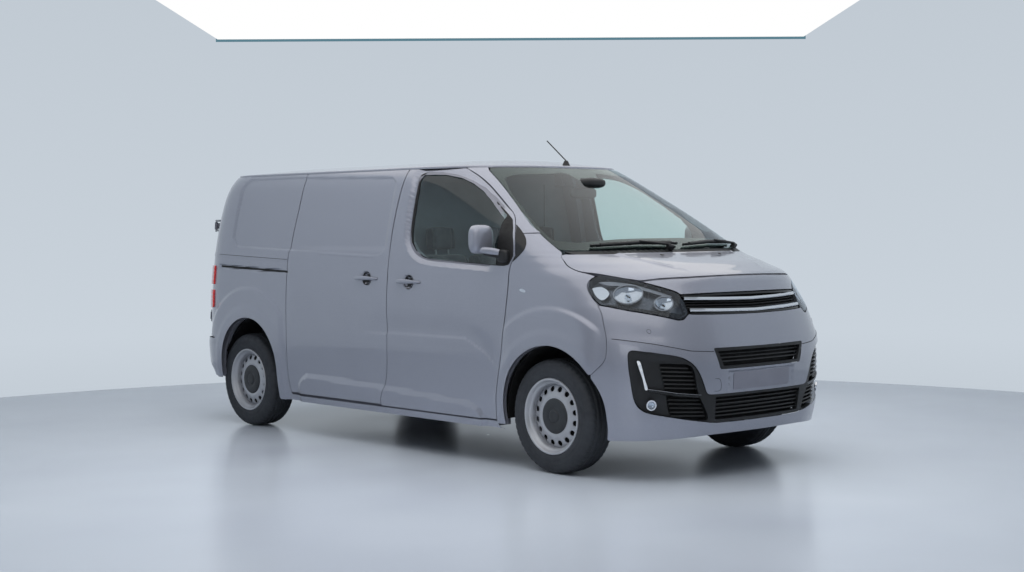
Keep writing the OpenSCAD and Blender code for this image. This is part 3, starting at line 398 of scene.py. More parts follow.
def ring_faces(rows, n, closed=False):
    """Quads between neighbouring rings of n points; closed joins the last ring to the first."""
    faces = []
    for i in range(rows if closed else rows - 1):
        up = (i + 1) % rows
        faces += [(i * n + j, i * n + (j + 1) % n, up * n + (j + 1) % n, up * n + j) for j in range(n)]
    return faces


def keep_edges(ob, degrees):
    """Shades as sharp the edges that bend by more than this."""
    ob.data.set_sharp_from_angle(angle=math.radians(degrees))


def turned(faces):
    return [f[::-1] for f in faces]


def vectors(items, key):
    """Array of a vector property of a mesh's points."""
    out = np.empty(len(items) * 3)
    items.foreach_get(key, out)
    return out.reshape(-1, 3)


def build(name, verts, faces, normals=None, mat=None, scale=0.001):
    """Mesh object from points in millimetres; corner normals where they are given per corner."""
    me = bpy.data.meshes.new(name)
    points = [tuple(p) for p in np.asarray(verts, float) * scale]
    me.from_pydata(points, [], [tuple(int(i) for i in f) for f in faces])
    me.polygons.foreach_set("use_smooth", [True] * len(me.polygons))
    me.update()
    if normals is not None:
        me.normals_split_custom_set_from_vertices([tuple(n) for n in normals])
    ob = bpy.data.objects.new(name, me)
    COLLECTION.objects.link(ob)
    if mat is not None:
        me.materials.append(mat)
    return ob


def shell(name, loops, mat, thick=2.0, step=24.0, field=no_field, offset=0.0, edge=12.0, flip=False):
    """Closed panel on the body surface, with true normals outside and a folded rim."""
    loops = [resample(p, edge) for p in loops]
    loops = [p if (area(p) > 0) == (k == 0) else p[::-1] for k, p in enumerate(loops)]
    co, tri = triangulate(loops, step)
    face_up(co, tri)
    s, v = co[:, 0], co[:, 1]
    outer = surface(s, v, field, offset)
    n = surface_normal(s, v, field)
    inner = outer - n * thick
    k = len(co)
    verts, norms = [outer, inner], [n, -n]
    faces = [tri, tri[:, ::-1] + k]
    rim = rim_of(tri)
    i, j = rim[:, 0], rim[:, 1]
    out = np.cross(outer[j] - outer[i], n[i])
    out /= np.maximum(np.linalg.norm(out, axis=1, keepdims=True), 1e-9)
    m, at = len(rim), 2 * k
    verts += [outer[i], outer[j], inner[j], inner[i]]
    norms += [out] * 4
    q = np.arange(m)
    faces_quads = np.stack([at + m + q, at + q, at + 3 * m + q, at + 2 * m + q], 1)
    verts, norms = np.vstack(verts), np.vstack(norms)
    if flip:
        verts = verts * [1, -1, 1]
        norms = norms * [1, -1, 1]
        faces = [f[:, ::-1] for f in faces]
        faces_quads = faces_quads[:, ::-1]
    all_faces = [tuple(f) for g in faces for f in g] + [tuple(f) for f in faces_quads]
    return build(name, verts, all_faces, norms, mat)


# ---------------------------------------------------------------- materials
def material(name, color, rough=0.5, metal=0.0, **sockets):
    m = bpy.data.materials.new(name)
    m.use_nodes = True
    b = m.node_tree.nodes["Principled BSDF"]
    b.inputs["Base Color"].default_value = (*color, 1)
    b.inputs["Roughness"].default_value = rough
    b.inputs["Metallic"].default_value = metal
    for k, val in sockets.items():
        b.inputs[k.replace("_", " ")].default_value = val
    return m


def srgb(*c):
    return tuple(((v / 255 + 0.055) / 1.055)**2.4 if v > 10 else v / 255 / 12.92 for v in c)


def node(m, kind, **inputs):
    n = m.node_tree.nodes.new(kind)
    for k, val in inputs.items():
        n.inputs[k.replace("_", " ")].default_value = val
    return n


def coords(m, scale=1.0, stretch=(1, 1, 1)):
    tc = node(m, "ShaderNodeTexCoord")
    mp = node(m, "ShaderNodeMapping")
    mp.inputs["Scale"].default_value = tuple(scale * k for k in stretch)
    m.node_tree.links.new(tc.outputs["Object"], mp.inputs["Vector"])
    return mp.outputs["Vector"]


def noise(m, vec, scale, detail=3.0, rough=0.6):
    n = node(m, "ShaderNodeTexNoise", Scale=scale, Detail=detail, Roughness=rough)
    m.node_tree.links.new(vec, n.inputs["Vector"])
    return n.outputs["Fac"]


def ramp(m, fac, stops):
    n = m.node_tree.nodes.new("ShaderNodeValToRGB")
    cr = n.color_ramp
    while len(cr.elements) < len(stops):
        cr.elements.new(0.5)
    for e, (pos, col) in zip(cr.elements, stops):
        e.position = pos
        e.color = (*col, 1) if len(col) == 3 else (col[0], col[0], col[0], 1)
    m.node_tree.links.new(fac, n.inputs["Fac"])
    return n.outputs["Color"]


def link(m, out, socket):
    m.node_tree.links.new(out, m.node_tree.nodes["Principled BSDF"].inputs[socket])


def bump(m, height, strength=0.2, distance=0.001):
    b = node(m, "ShaderNodeBump", Strength=strength, Distance=distance)
    m.node_tree.links.new(height, b.inputs["Height"])
    link(m, b.outputs["Normal"], "Normal")


def grained(name, color, rough=0.55, grain=900.0, strength=0.25, spread=0.25, metal=0.0, **sockets):
    """Moulded or painted surface with a fine grain and slight colour change."""
    m = material(name, color, rough, metal, **sockets)
    vec = coords(m)
    dark = tuple(c * (1 - spread) for c in color)
    light = tuple(min(1, c * (1 + spread)) for c in color)
    link(m, ramp(m, noise(m, vec, 6.0, 4.0), [(0.3, dark), (0.7, light)]), "Base Color")
    worn = [(0.25, (rough * 0.82,)), (0.75, (min(1, rough * 1.15),))]
    link(m, ramp(m, noise(m, vec, 25.0, 3.0), worn), "Roughness")
    bump(m, noise(m, vec, grain, 2.0), strength, 0.0004)
    return m


def paint_material():
    base_c, flake_c = srgb(138, 141, 153), srgb(165, 168, 180)
    m = material("body_paint", base_c, 0.34, 0.62)
    b = m.node_tree.nodes["Principled BSDF"]
    b.inputs["Coat Weight"].default_value = 1.0
    b.inputs["Coat Roughness"].default_value = 0.045
    vec = coords(m)
    flakes = node(m, "ShaderNodeTexVoronoi", Scale=1400.0)
    m.node_tree.links.new(vec, flakes.inputs["Vector"])
    link(m, ramp(m, flakes.outputs["Color"], [(0.25, base_c), (0.9, flake_c)]), "Base Color")
    link(m, ramp(m, noise(m, vec, 3.0, 2.0), [(0.3, (0.31,)), (0.7, (0.37,))]), "Roughness")
    bump(m, noise(m, vec, 260.0, 1.0), 0.03, 0.0002)
    return m


PAINT = paint_material()
INNER = grained("inner_paint", srgb(120, 121, 130), 0.5, 500, 0.1, 0.08, 0.3)
BLACK = grained("black_plastic", srgb(26, 27, 29), 0.5, 1100, 0.35, 0.25)
GLOSS = grained("gloss_black", srgb(13, 14, 16), 0.16, 300, 0.03, 0.1)
RUBBER = grained("rubber_seal", srgb(18, 18, 19), 0.7, 700, 0.3, 0.25)
CHASSIS = grained("chassis_paint", srgb(30, 31, 33), 0.65, 400, 0.4, 0.35)
TRIM = grained("cabin_plastic", srgb(48, 50, 54), 0.6, 1300, 0.4, 0.15)
DASH = grained("dash_plastic", srgb(36, 38, 42), 0.62, 1200, 0.5, 0.15)
IRON = grained("cast_iron", srgb(62, 60, 58), 0.72, 350, 0.8, 0.3, 0.6)
STEEL = grained("zinc_steel", srgb(150, 152, 156), 0.4, 500, 0.2, 0.15, 0.85)
CHROME = grained("chrome", srgb(225, 227, 230), 0.09, 200, 0.01, 0.02, 1.0)
BULK = grained("bulkhead_steel", srgb(128, 133, 140), 0.5, 500, 0.1, 0.1, 0.1)
WHEEL = grained("wheel_silver", srgb(176, 178, 183), 0.36, 700, 0.1, 0.08, 0.55)
PLATE = grained("plate_blank", srgb(140, 141, 152), 0.35, 600, 0.04, 0.05, 0.4)
HOUSING = grained("lamp_housing", srgb(104, 108, 114), 0.26, 500, 0.05, 0.15, 0.5)
DARKTRIM = grained("lamp_dark_trim", srgb(34, 36, 40), 0.25, 400, 0.05, 0.2, 0.4)
RED = grained("red_lens", srgb(226, 40, 38), 0.12, 300, 0.02, 0.12, Coat_Weight=1.0)
MIRROR = grained("mirror_glass", srgb(215, 220, 226), 0.03, 50, 0.0, 0.01, 1.0)
DRL = grained("day_light", srgb(232, 236, 240), 0.15, 300, 0.02, 0.03, 0.2)
WHITE = grained("white_enamel", srgb(225, 226, 228), 0.3, 400, 0.05, 0.04)


def blank_material(name):
    """Material with nothing in its tree but the output."""
    m = bpy.data.materials.new(name)
    m.use_nodes = True
    m.node_tree.nodes.clear()
    return m, m.node_tree, m.node_tree.nodes.new("ShaderNodeOutputMaterial")


def math_node(tree, operation):
    n = tree.nodes.new("ShaderNodeMath")
    n.operation = operation
    return n


def glass_material(name, tint, through, rough=0.02):
    """Thin tinted pane: mirror-like on top, coloured and clear behind."""
    m, t, out = blank_material(name)
    clear = t.nodes.new("ShaderNodeBsdfTransparent")
    clear.inputs["Color"].default_value = (*tint, 1)
    shine = t.nodes.new("ShaderNodeBsdfGlossy")
    shine.inputs["Roughness"].default_value = rough
    shine.inputs["Color"].default_value = (0.95, 0.98, 1, 1)
    fres = t.nodes.new("ShaderNodeFresnel")
    fres.inputs["IOR"].default_value = through
    geo = t.nodes.new("ShaderNodeNewGeometry")
    front = math_node(t, "SUBTRACT")
    front.inputs[0].default_value = 1.0
    t.links.new(geo.outputs["Backfacing"], front.inputs[1])
    gain = math_node(t, "MULTIPLY")
    t.links.new(fres.outputs["Fac"], gain.inputs[0])
    t.links.new(front.outputs[0], gain.inputs[1])
    mix = t.nodes.new("ShaderNodeMixShader")
    t.links.new(gain.outputs[0], mix.inputs["Fac"])
    t.links.new(clear.outputs["BSDF"], mix.inputs[1])
    t.links.new(shine.outputs["BSDF"], mix.inputs[2])
    t.links.new(mix.outputs["Shader"], out.inputs["Surface"])
    return m


GLASS = glass_material("tinted_glass", (0.86, 0.93, 0.915), 1.5)
LENS = glass_material("clear_lens", srgb(240, 243, 246), 1.45)

# ---------------------------------------------------------------- studio and camera
VIEW_YAW, VIEW_PITCH, VIEW_ROLL = [math.radians(a) for a in (47.5286, 2.1554, -0.2901)]
CAMERA_AT = Vector((8.3939, -7.4452, 1.4818))
SENSOR_W, LENS_MM = 36.0, 55.620703125
# Metres: ceiling panel, floor, and the middle and radius of the curved wall
PANEL_H, FLOOR_R, WALL_DEPTH, WALL_R = 3.14, 26, 10.08, 5.72


def from_camera(side_m, depth, z):
    """Point on the camera's level axis: sideways and forwards from it, at a height."""
    fwd = Vector((-math.sin(VIEW_YAW), math.cos(VIEW_YAW), 0))
    right = Vector((math.cos(VIEW_YAW), math.sin(VIEW_YAW), 0))
    p = CAMERA_AT + right * side_m + fwd * depth
    return Vector((p.x, p.y, z))


def stage_mesh(name, rings, mat):
    """Sheet through rows of points."""
    bm = bmesh.new()
    grid = [[bm.verts.new(q) for q in row] for row in rings]
    for a, b in zip(grid, grid[1:]):
        for k in range(len(a) - 1):
            bm.faces.new((a[k], a[k + 1], b[k + 1], b[k])).smooth = True
    me = bpy.data.meshes.new(name)
    bm.to_mesh(me)
    bm.free()
    me.materials.append(mat)
    ob = bpy.data.objects.new(name, me)
    COLLECTION.objects.link(ob)
    return ob


def glow(name, color, strength, plain):
    """Backdrop finish that shows its own brightness to the camera and lights nothing."""
    m, t, out = blank_material(name)
    em = t.nodes.new("ShaderNodeEmission")
    em.inputs["Color"].default_value = (*color, 1)
    em.inputs["Strength"].default_value = strength
    df = t.nodes.new("ShaderNodeBsdfDiffuse")
    df.inputs["Color"].default_value = (*plain, 1)
    lp = t.nodes.new("ShaderNodeLightPath")
    add = math_node(t, "MAXIMUM")
    add2 = math_node(t, "MAXIMUM")
    mix = t.nodes.new("ShaderNodeMixShader")
    t.links.new(lp.outputs["Is Camera Ray"], add.inputs[0])
    t.links.new(lp.outputs["Is Glossy Ray"], add.inputs[1])
    t.links.new(add.outputs[0], add2.inputs[0])
    t.links.new(lp.outputs["Is Transmission Ray"], add2.inputs[1])
    t.links.new(add2.outputs[0], mix.inputs["Fac"])
    t.links.new(df.outputs["BSDF"], mix.inputs[1])
    t.links.new(em.outputs["Emission"], mix.inputs[2])
    # Seen only from inside the room, so that it never hides the van from another angle
    geo = t.nodes.new("ShaderNodeNewGeometry")
    hole = t.nodes.new("ShaderNodeBsdfTransparent")
    one_sided = t.nodes.new("ShaderNodeMixShader")
    t.links.new(geo.outputs["Backfacing"], one_sided.inputs["Fac"])
    t.links.new(mix.outputs["Shader"], one_sided.inputs[1])
    t.links.new(hole.outputs["BSDF"], one_sided.inputs[2])
    t.links.new(one_sided.outputs["Shader"], out.inputs["Surface"])
    return m


def studio():
    floor_m = material("studio_floor", srgb(190, 197, 206), 0.22, 0.0)
    vec = coords(floor_m)
    tones = [(0.3, srgb(187, 194, 205)), (0.7, srgb(199, 206, 215))]
    link(floor_m, ramp(floor_m, noise(floor_m, vec, 0.5, 2.0), tones), "Base Color")
    polish = [(0.3, (0.2,)), (0.75, (0.27,))]
    link(floor_m, ramp(floor_m, noise(floor_m, vec, 0.9, 1.5), polish), "Roughness")
    turns = [2 * math.pi * k / 72 for k in range(73)]
    ring = [[(r * math.cos(t), r * math.sin(t), 0) for t in turns] for r in (0.01, FLOOR_R)]
    stage_mesh("studio_floor", ring, floor_m)
    wall_m = glow("studio_wall", srgb(206, 212, 219), 1.0, srgb(206, 212, 219))
    wall_vec = coords(wall_m)
    em = [q for q in wall_m.node_tree.nodes if q.type == "EMISSION"][0]
    sep = node(wall_m, "ShaderNodeSeparateXYZ")
    wall_m.node_tree.links.new(wall_vec, sep.inputs["Vector"])
    mul = math_node(wall_m.node_tree, "MULTIPLY")
    mul.inputs[1].default_value = 0.25
    wall_m.node_tree.links.new(sep.outputs["Z"], mul.inputs[0])
    # Painted shading: the wall's glow is lightest about half a metre up, a little darker at the floor and
    # darker towards the top, standing in for how the light falls on the wall
    tones = [(0.0, srgb(196, 205, 214)), (0.12, srgb(201, 210, 219)), (0.4, srgb(198, 207, 216)),
             (1.0, srgb(192, 201, 210))]
    wall_m.node_tree.links.new(ramp(wall_m, mul.outputs[0], tones), em.inputs["Color"])
    rows = []
    for z in (0.0, 0.02, 1.0, 3.0, 6.5):
        row = []
        for a in np.linspace(-115, 115, 100):
            t = math.radians(a)
            spread = 1 + 0.25 * abs(t) ** 2 * 0.3
            row.append(from_camera(WALL_R * math.sin(t) * spread, WALL_DEPTH + WALL_R * math.cos(t), z))
        rows.append(row)
    stage_mesh("studio_wall", rows, wall_m)
    panel_m = glow("ceiling_glow", (1, 1, 1), 1.0, (0.8, 0.8, 0.8))
    panel = [[from_camera(x, d, PANEL_H) for x in (-2.58, 2.58)] for d in (14.0, 6.0)]
    stage_mesh("ceiling_light", panel, panel_m)
    edge_m = glow("ceiling_edge", srgb(92, 128, 142), 1.0, srgb(92, 128, 142))
    rim = [[from_camera(x, 14.02, z) for x in (-2.6, 2.6)] for z in (PANEL_H - 0.02, PANEL_H + 0.01)]
    stage_mesh("ceiling_frame", rim, edge_m)


def area_lamp(name, at, to, size, power, color=(1, 1, 1)):
    d = bpy.data.lights.new(name, "AREA")
    d.shape = "RECTANGLE"
    d.size, d.size_y = size
    d.energy = power
    d.color = color
    ob = bpy.data.objects.new(name, d)
    COLLECTION.objects.link(ob)
    turn = (Vector(to) - Vector(at)).to_track_quat("-Z", "Y")
    ob.matrix_world = Matrix.Translation(at) @ turn.to_matrix().to_4x4()
    return ob


def camera():
    cam = bpy.data.cameras.new("camera")
    cam.sensor_width = SENSOR_W
    cam.lens = LENS_MM
    cam.clip_end = 200
    ob = bpy.data.objects.new("camera", cam)
    COLLECTION.objects.link(ob)
    a, e, r = VIEW_YAW, VIEW_PITCH, VIEW_ROLL
    back = Vector((math.sin(a) * math.cos(e), -math.cos(a) * math.cos(e), math.sin(e)))
    right = (-back).cross(Vector((0, 0, 1))).normalized()
    up = right.cross(-back)
    rr, uu = math.cos(r) * right + math.sin(r) * up, math.cos(r) * up - math.sin(r) * right
    m = Matrix((rr, uu, back)).transposed().to_4x4()
    m.translation = CAMERA_AT
    ob.matrix_world = m
    bpy.context.scene.camera = ob
    return ob


camera()
studio()
world = bpy.data.worlds.new("world")
bpy.context.scene.world = world
world.use_nodes = True
wt = world.node_tree
plain_sky = wt.nodes["Background"]
plain_sky.inputs["Color"].default_value = (*srgb(214, 222, 232), 1)
plain_sky.inputs["Strength"].default_value = 0.46
shown_sky = wt.nodes.new("ShaderNodeBackground")
shown_sky.inputs["Color"].default_value = (*srgb(201, 210, 219), 1)
sky_mix = wt.nodes.new("ShaderNodeMixShader")
sky_ray = wt.nodes.new("ShaderNodeLightPath")
wt.links.new(sky_ray.outputs["Is Camera Ray"], sky_mix.inputs["Fac"])
wt.links.new(plain_sky.outputs[0], sky_mix.inputs[1])
wt.links.new(shown_sky.outputs[0], sky_mix.inputs[2])
wt.links.new(sky_mix.outputs[0], wt.nodes["World Output"].inputs["Surface"])
mid = from_camera(0, 10.0, PANEL_H - 0.02)
lamp = area_lamp("ceiling_panel", mid, (mid.x, mid.y, 0), (7.6, 5.0), 235)
lamp.rotation_euler = (0, 0, VIEW_YAW + math.pi / 2)
lamp.visible_camera = lamp.visible_glossy = False
area_lamp("camera_fill", from_camera(-3.0, -1.0, 3.4), (0, 0, 0.8), (5.0, 3.0), 45)
bpy.context.scene.view_settings.view_transform = "Standard"
bpy.context.scene.view_settings.look = "None"

# ---------------------------------------------------------------- pressed shapes in the panels
def smooth(a, b, x):
    t = np.clip((x - a) / (b - a), 0, 1)
    return t * t * (3 - 2 * t)


def rounded_box(x, z, x0, x1, z0, z1, r):
    """Distance outside a box with rounded corners, negative inside."""
    cx, cz = (x0 + x1) / 2, (z0 + z1) / 2
    qx = np.abs(x - cx) - (x1 - x0) / 2 + r
    qz = np.abs(z - cz) - (z1 - z0) / 2 + r
    return np.hypot(np.maximum(qx, 0), np.maximum(qz, 0)) + np.minimum(np.maximum(qx, qz), 0) - r


ARCH_F, ARCH_FR = (AXLE_F + 34, AXLE_Z), 428.0
ARCH_R, ARCH_RR = (AXLE_R + 78, 447.0), 366.0


def flare(x, z, centre, r):
    """Lip and stepped arcs pressed round a wheel arch."""
    d = np.hypot(x - centre[0], np.maximum(z, centre[1] - 60) - centre[1]) - r
    lip = 5.0 * (1 - smooth(60, 112, d))
    body = 13.0 * (1 - smooth(205, 243, d))
    if centre[0] > 0:
        body = body * smooth(1190, 1300, x) * (1 - smooth(1990, 2056, x))
    else:
        body = body * (1 - smooth(-1200, -1112, x))
    return (lip + body) * smooth(-80, 120, z - 150)


WINDOW = [(251, 1853), (222, 1835), (215, 1815), (228, 1740), (231, 1650), (236, 1540), (242, 1451),
          (256, 1395), (285, 1352), (330, 1317), (400, 1290), (470, 1277), (700, 1264), (1000, 1250),
          (1132, 1242), (1225, 1243), (1278, 1262), (1344, 1308), (1372, 1340), (1372, 1372), (1350, 1408),
          (1290, 1457), (1222, 1500), (1062, 1603), (917, 1688), (791, 1756), (683, 1799), (571, 1829),
          (449, 1845), (330, 1853)]
WINDOW_DIP = 24.0


def window_distance(x, z):
    """Distance in side view from the edge of the door window."""
    w = spline(np.vstack([WINDOW, WINDOW[:1]]), 12.0)
    shape = np.shape(x)
    p = np.stack([np.ravel(x), np.ravel(z)], 1)
    out = np.full(len(p), 1e3)
    close = (p[:, 0] > 60) & (p[:, 0] < 1420) & (p[:, 1] > 1120)
    if close.any():
        q = p[close]
        best = np.full(len(q), 1e9)
        for w0 in w:
            best = np.minimum(best, (q[:, 0] - w0[0])**2 + (q[:, 1] - w0[1])**2)
        out[close] = np.sqrt(best)
    return out.reshape(shape)


def side_field(x, y, z, rail=True):
    on = smooth(550, 800, y)
    f = flare(x, z, ARCH_F, ARCH_FR) * smooth(1000, 1150, x) * (1 - smooth(1930, 2080, x))
    f = f + flare(x, z, ARCH_R, ARCH_RR) * (1 - smooth(-1180, -1040, x)) * smooth(-2230, -2100, x)
    sill = np.interp(x, [-1002, -923, -855, 29, 877, 956, 1026], [354, 418, 443, 420, 382, 354, 300])
    ends = np.clip((x + 1004) / 60, 0, 1) * np.clip((1026 - x) / 60, 0, 1)
    f = f + 17.0 * np.clip((sill + 6 - z) / 34, 0, 1) * np.clip(ends * 1.4, 0, 1)
    crease = np.interp(x, [-400, -2, 865, 1049, 1165], [774, 774, 780, 701, 614])
    fold = 6.5 * smooth(-6, 10, z - crease) * (1 - smooth(20, 190, z - crease))
    f = f - fold * smooth(-260, 60, x) * (1 - smooth(1120, 1180, x))
    low = np.interp(x, [-1869, -1102, -749, -92], [1340, 1316, 1306, 1290])
    box = rounded_box(x, z - (low - 1320), -1872.0, 28.0, 1320.0, 1852.0 - (low - 1320).clip(0, 30), 105.0)
    shallow = 1 - 0.75 * smooth(-1150, -700, x) * smooth(-60, -200, 3 * np.minimum(z - 1380, 0))
    f = f - 10.0 * (1 - smooth(-12, 2, box)) * (1 - smooth(0, 25, x)) * shallow
    lip = 2.0 * (1 - smooth(2, 12, np.abs(z - low + 8)))
    f = f + lip * smooth(-800, -700, x) * (1 - smooth(-130, -80, x))
    line = np.interp(x, [-2029, -1117], [1281, 1252])
    f = f + 2.5 * (1 - smooth(4, 26, np.abs(z - line))) * (1 - smooth(-1125, -1100, x))
    slot = np.interp(x, [-2002, -1113], [1192, 1164])
    groove = 9.0 * rail * (1 - smooth(10, 17, np.abs(z - slot)))
    f = f - groove * (1 - smooth(-1112, -1104, x)) * smooth(-2030, -2004, x)
    for cx, cz in ((287.5, 1122.0), (-166.5, 1136.0))[:1 + rail]:
        d = np.hypot(x - cx, z - cz)
        f = f - 18.0 * (1 - smooth(34, 50, d)) * (x > -1000)
    edge = window_distance(x, z)
    dip = WINDOW_DIP * (1 - np.clip((edge - 4) / 40, 0, 1))
    f = f - dip * (1 - smooth(1020, 1180, x)) * (z > 1150) * (x > 60)
    return f * on


def plain_side(x, y, z):
    """Left side, which has no rail and no sliding door."""
    return side_field(x, y, z, rail=False)


def nose_field(x, y, z):
    """Soft shelf under the grille, plate pad and the front arch's flare."""
    pad = rounded_box(y, z, -306.0, 306.0, 507.0, 636.0, 6.0)
    f = side_field(x, y, z) - 9.0 * (1 - smooth(-9, 0, pad)) * (x > 2380)
    seam = np.interp(y, [405, 566, 779, 917], [752, 761, 809, 834])
    low = smooth(1950, 2060, x) * (1 - smooth(900, 1000, z))
    f = f + 4.0 * (1 - smooth(-30, 60, z - seam)) * smooth(380, 520, y) * low
    return f


def bonnet_field(x, y, z):
    """Two lengthwise creases that fade towards the front, and the raised middle between them."""
    line = np.interp(x, [1640, 1830, 2060, 2210], [545, 520, 430, 330])
    fade = smooth(1600, 1700, x) * (1 - smooth(2080, 2230, x))
    return (7.0 * (1 - smooth(-16, 34, y - line)) + 3.0 * (1 - smooth(0, 18, np.abs(y - line)))) * fade


DOOR_REAR = [(250, -24), (331, -16), (420, 27), (522, 57), (734, 72), (944, 67), (1397, 67), (1635, 77),
             (1792, 91), (1880, 98)]
DOOR_FRONT = [(250, 1124), (437, 1146), (547, 1170), (683, 1201), (817, 1223), (977, 1249), (1110, 1260),
              (1214, 1263), (1262, 1277), (1300, 1301), (1345, 1296), (1388, 1283), (1475, 1239),
              (1525, 1200), (1564, 1155), (1606, 1088), (1688, 951), (1762, 820), (1818, 702), (1861, 591),
              (1880, 538)]
SLIDER_REAR = [(250, -1087), (420, -1110), (676, -1105), (889, -1105), (1252, -1109), (1404, -1095),
               (1646, -1074), (1880, -1078)]
DOOR_LOW, ROOF_LOW, GAP = 287.0, 1866.0, 2.2


def along(table, z0, z1, dx=0.0):
    """Points of a shut line between two heights, as stations and heights."""
    t = sorted(table)
    zs = [z for z, _ in t if min(z0, z1) + 6 < z < max(z0, z1) - 6]
    zs = [min(z0, z1)] + zs + [max(z0, z1)]
    p = [(float(np.interp(z, [q[0] for q in t], [q[1] for q in t])) + dx, z) for z in zs]
    return p if z0 < z1 else p[::-1]


def arc(centre, r, z0, z1):
    """Wheel arch edge from a height at its front, over the top, to a height at its rear."""
    a0 = math.asin(max(-1, min(1, (z0 - centre[1]) / r)))
    a1 = math.pi - math.asin(max(-1, min(1, (z1 - centre[1]) / r)))
    return [(centre[0] + r * math.cos(a), centre[1] + r * math.sin(a)) for a in np.linspace(a0, a1, 60)]


def panels(name, loops, mat, bodies, nodes, both=True, r=6.0, gap=GAP, right=True, left=True, **kw):
    """A panel on each side of the van, or one across it, that stands for its CAD nodes."""
    loops = [fillet(p, r if k == 0 else 0) for k, p in enumerate(loops)]
    loops[0] = shrink(resample(loops[0], 5.0), gap)
    out = []
    for k, sidename in enumerate(("left", "right")):
        if not (left, right)[k]:
            continue
        ob = shell(name + ("_" + sidename if both else ""), loops, mat, flip=k == 1, **kw)
        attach(ob, bodies[k] if isinstance(bodies, (list, tuple)) else bodies)
        for cad_name in nodes:
            cad_name = cad_name.format(side=sidename)
            if cad_name:
                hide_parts(cad_name)
        out.append(ob)
        if not both:
            break
    return out


# Front doors
def clip_front(points, margin, front=9e3):
    """Keeps a loop behind the front door's leading edge and an upright line."""
    t = sorted(DOOR_FRONT)
    out = []
    for x, z in points:
        limit = float(np.interp(z, [q[0] for q in t], [q[1] for q in t])) - margin
        out.append((min(x, limit, front), z))
    return out


def dense(points, step=8.0):
    p = spline(np.vstack([points, points[:1]]), step)[:-1]
    return [tuple(q) for q in p]


window_out = dense(WINDOW)
window_door = side(clip_front(window_out, 16), smooth=False)
glass_loop = side(clip_front(window_out, 20, 1146.0), smooth=False)
door_loop = loop_of(side(along(DOOR_REAR, DOOR_LOW, ROOF_LOW)),
                    side([(98, ROOF_LOW), (300, ROOF_LOW), (577, ROOF_LOW)]),
                    side(along(DOOR_FRONT, ROOF_LOW, DOOR_LOW)),
                    side([(1128, DOOR_LOW), (600, DOOR_LOW), (-20, DOOR_LOW)]))
door_hole = fillet(shrink(fillet(window_door, 6), 3), 4)
FD = ("front_door_left", "front_door_right")
panels("door_skin", [door_loop, door_hole], PAINT, FD, ["front_door_{side}"], field=side_field, step=17)
glass_open = fillet(shrink(fillet(glass_loop, 6), 13), 10)


def frame_dip(x, y, z):
    """Follows the door's skin into the window."""
    return -(WINDOW_DIP - 2) * (1 - smooth(1020, 1180, x))


panels("window_surround", [fillet(window_door, 6), glass_open], RUBBER, FD, [""], field=frame_dip, offset=1.6,
       gap=-1.0, thick=7.0, step=60, edge=10)
panels("door_pane", [fillet(shrink(glass_open, -6), 6)], GLASS, FD, ["door_glass_{side}"], field=frame_dip,
       offset=-3.0, thick=3.5, gap=0, step=40)
edge_z, edge_x = [q[0] for q in DOOR_FRONT], [q[1] for q in DOOR_FRONT]
quarter = [p for p in window_out if p[0] > np.interp(p[1], edge_z, edge_x) + 5]
quarter = quarter + along(DOOR_FRONT, quarter[-1][1], quarter[0][1], 5)
panels("quarter_trim", [loop_of(side(quarter, smooth=False))], GLOSS, "body_shell", [""], field=no_field,
       offset=1.6, gap=0.5, r=5, thick=4)

# Wings
wing_loop = loop_of(
    side(along(DOOR_FRONT, 264, 1436, 1)), side([(1262, 1438), (1404, 1439)]),
    free([(1404, 813, 1439), (1480, 819, 1394), (1558, 822, 1349), (1604, 821, 1323), (1626, 847, 1296),
          (1663, 861, 1272), (1712, 873, 1241), (1791, 871, 1214), (1850, 858, 1202), (1907, 847, 1188)]),
    free([(1908, 845, 1186), (1886, 872, 1163), (1884, 891, 1130), (1902, 898, 1099), (1940, 900, 1059),
          (1979, 900, 1026)]),
    free([(1979, 900, 1022), (2015, 907, 970), (2041, 913, 902), (2062, 920, 845), (2071, 923, 789),
          (2065, 930, 712), (2011, 944, 652), (1975, 948, 621)]),
    side(arc(ARCH_F, ARCH_FR, 621, 264)), side([(1210, 264), (1127, 264)]))
panels("wing_skin", [wing_loop], PAINT, "body_shell", ["wings"], field=side_field, step=14)

# Side frames, sliding door
arch_r = arc(ARCH_R, ARCH_RR, 447, 447)
arch_r = [(ARCH_R[0] + ARCH_RR, z) for z in np.linspace(236, 440, 12)] + arch_r + [
    (ARCH_R[0] - ARCH_RR, z) for z in np.linspace(440, 345, 6)]
REAR_EDGE = [(655, 787), (950, 785), (1250, 773), (1500, 738), (1700, 688), (1866, 612)]
tail_edge = tail([(y, z) for z, y in REAR_EDGE])
sill_end = [(1205, 236), (1150, 250), (1131, 280)]
low_curve = [side([(-1228, 236), (0, 236), (1205, 236)]), side(sill_end)]


def frame_loop(front):
    """Side frame behind a shut line, with the sill under the doors."""
    return loop_of(
        side([(1131, 280), (600, 281), (front[0][0], 281)]), side(front),
        side([(front[-1][0], ROOF_LOW), ((front[-1][0] - 1900) / 2, ROOF_LOW), (-1900, ROOF_LOW)]),
        tail([(800, ROOF_LOW)] + [(690, ROOF_LOW), (612, ROOF_LOW)]), tail_edge[::-1],
        tail([(787, 655), (860, 655)]), side([(-2056, 652), (-2056, 500), (-2056, 345)], smooth=False),
        side([(-2050, 345), (-1966, 345)]), side(arch_r[::-1]), *low_curve)


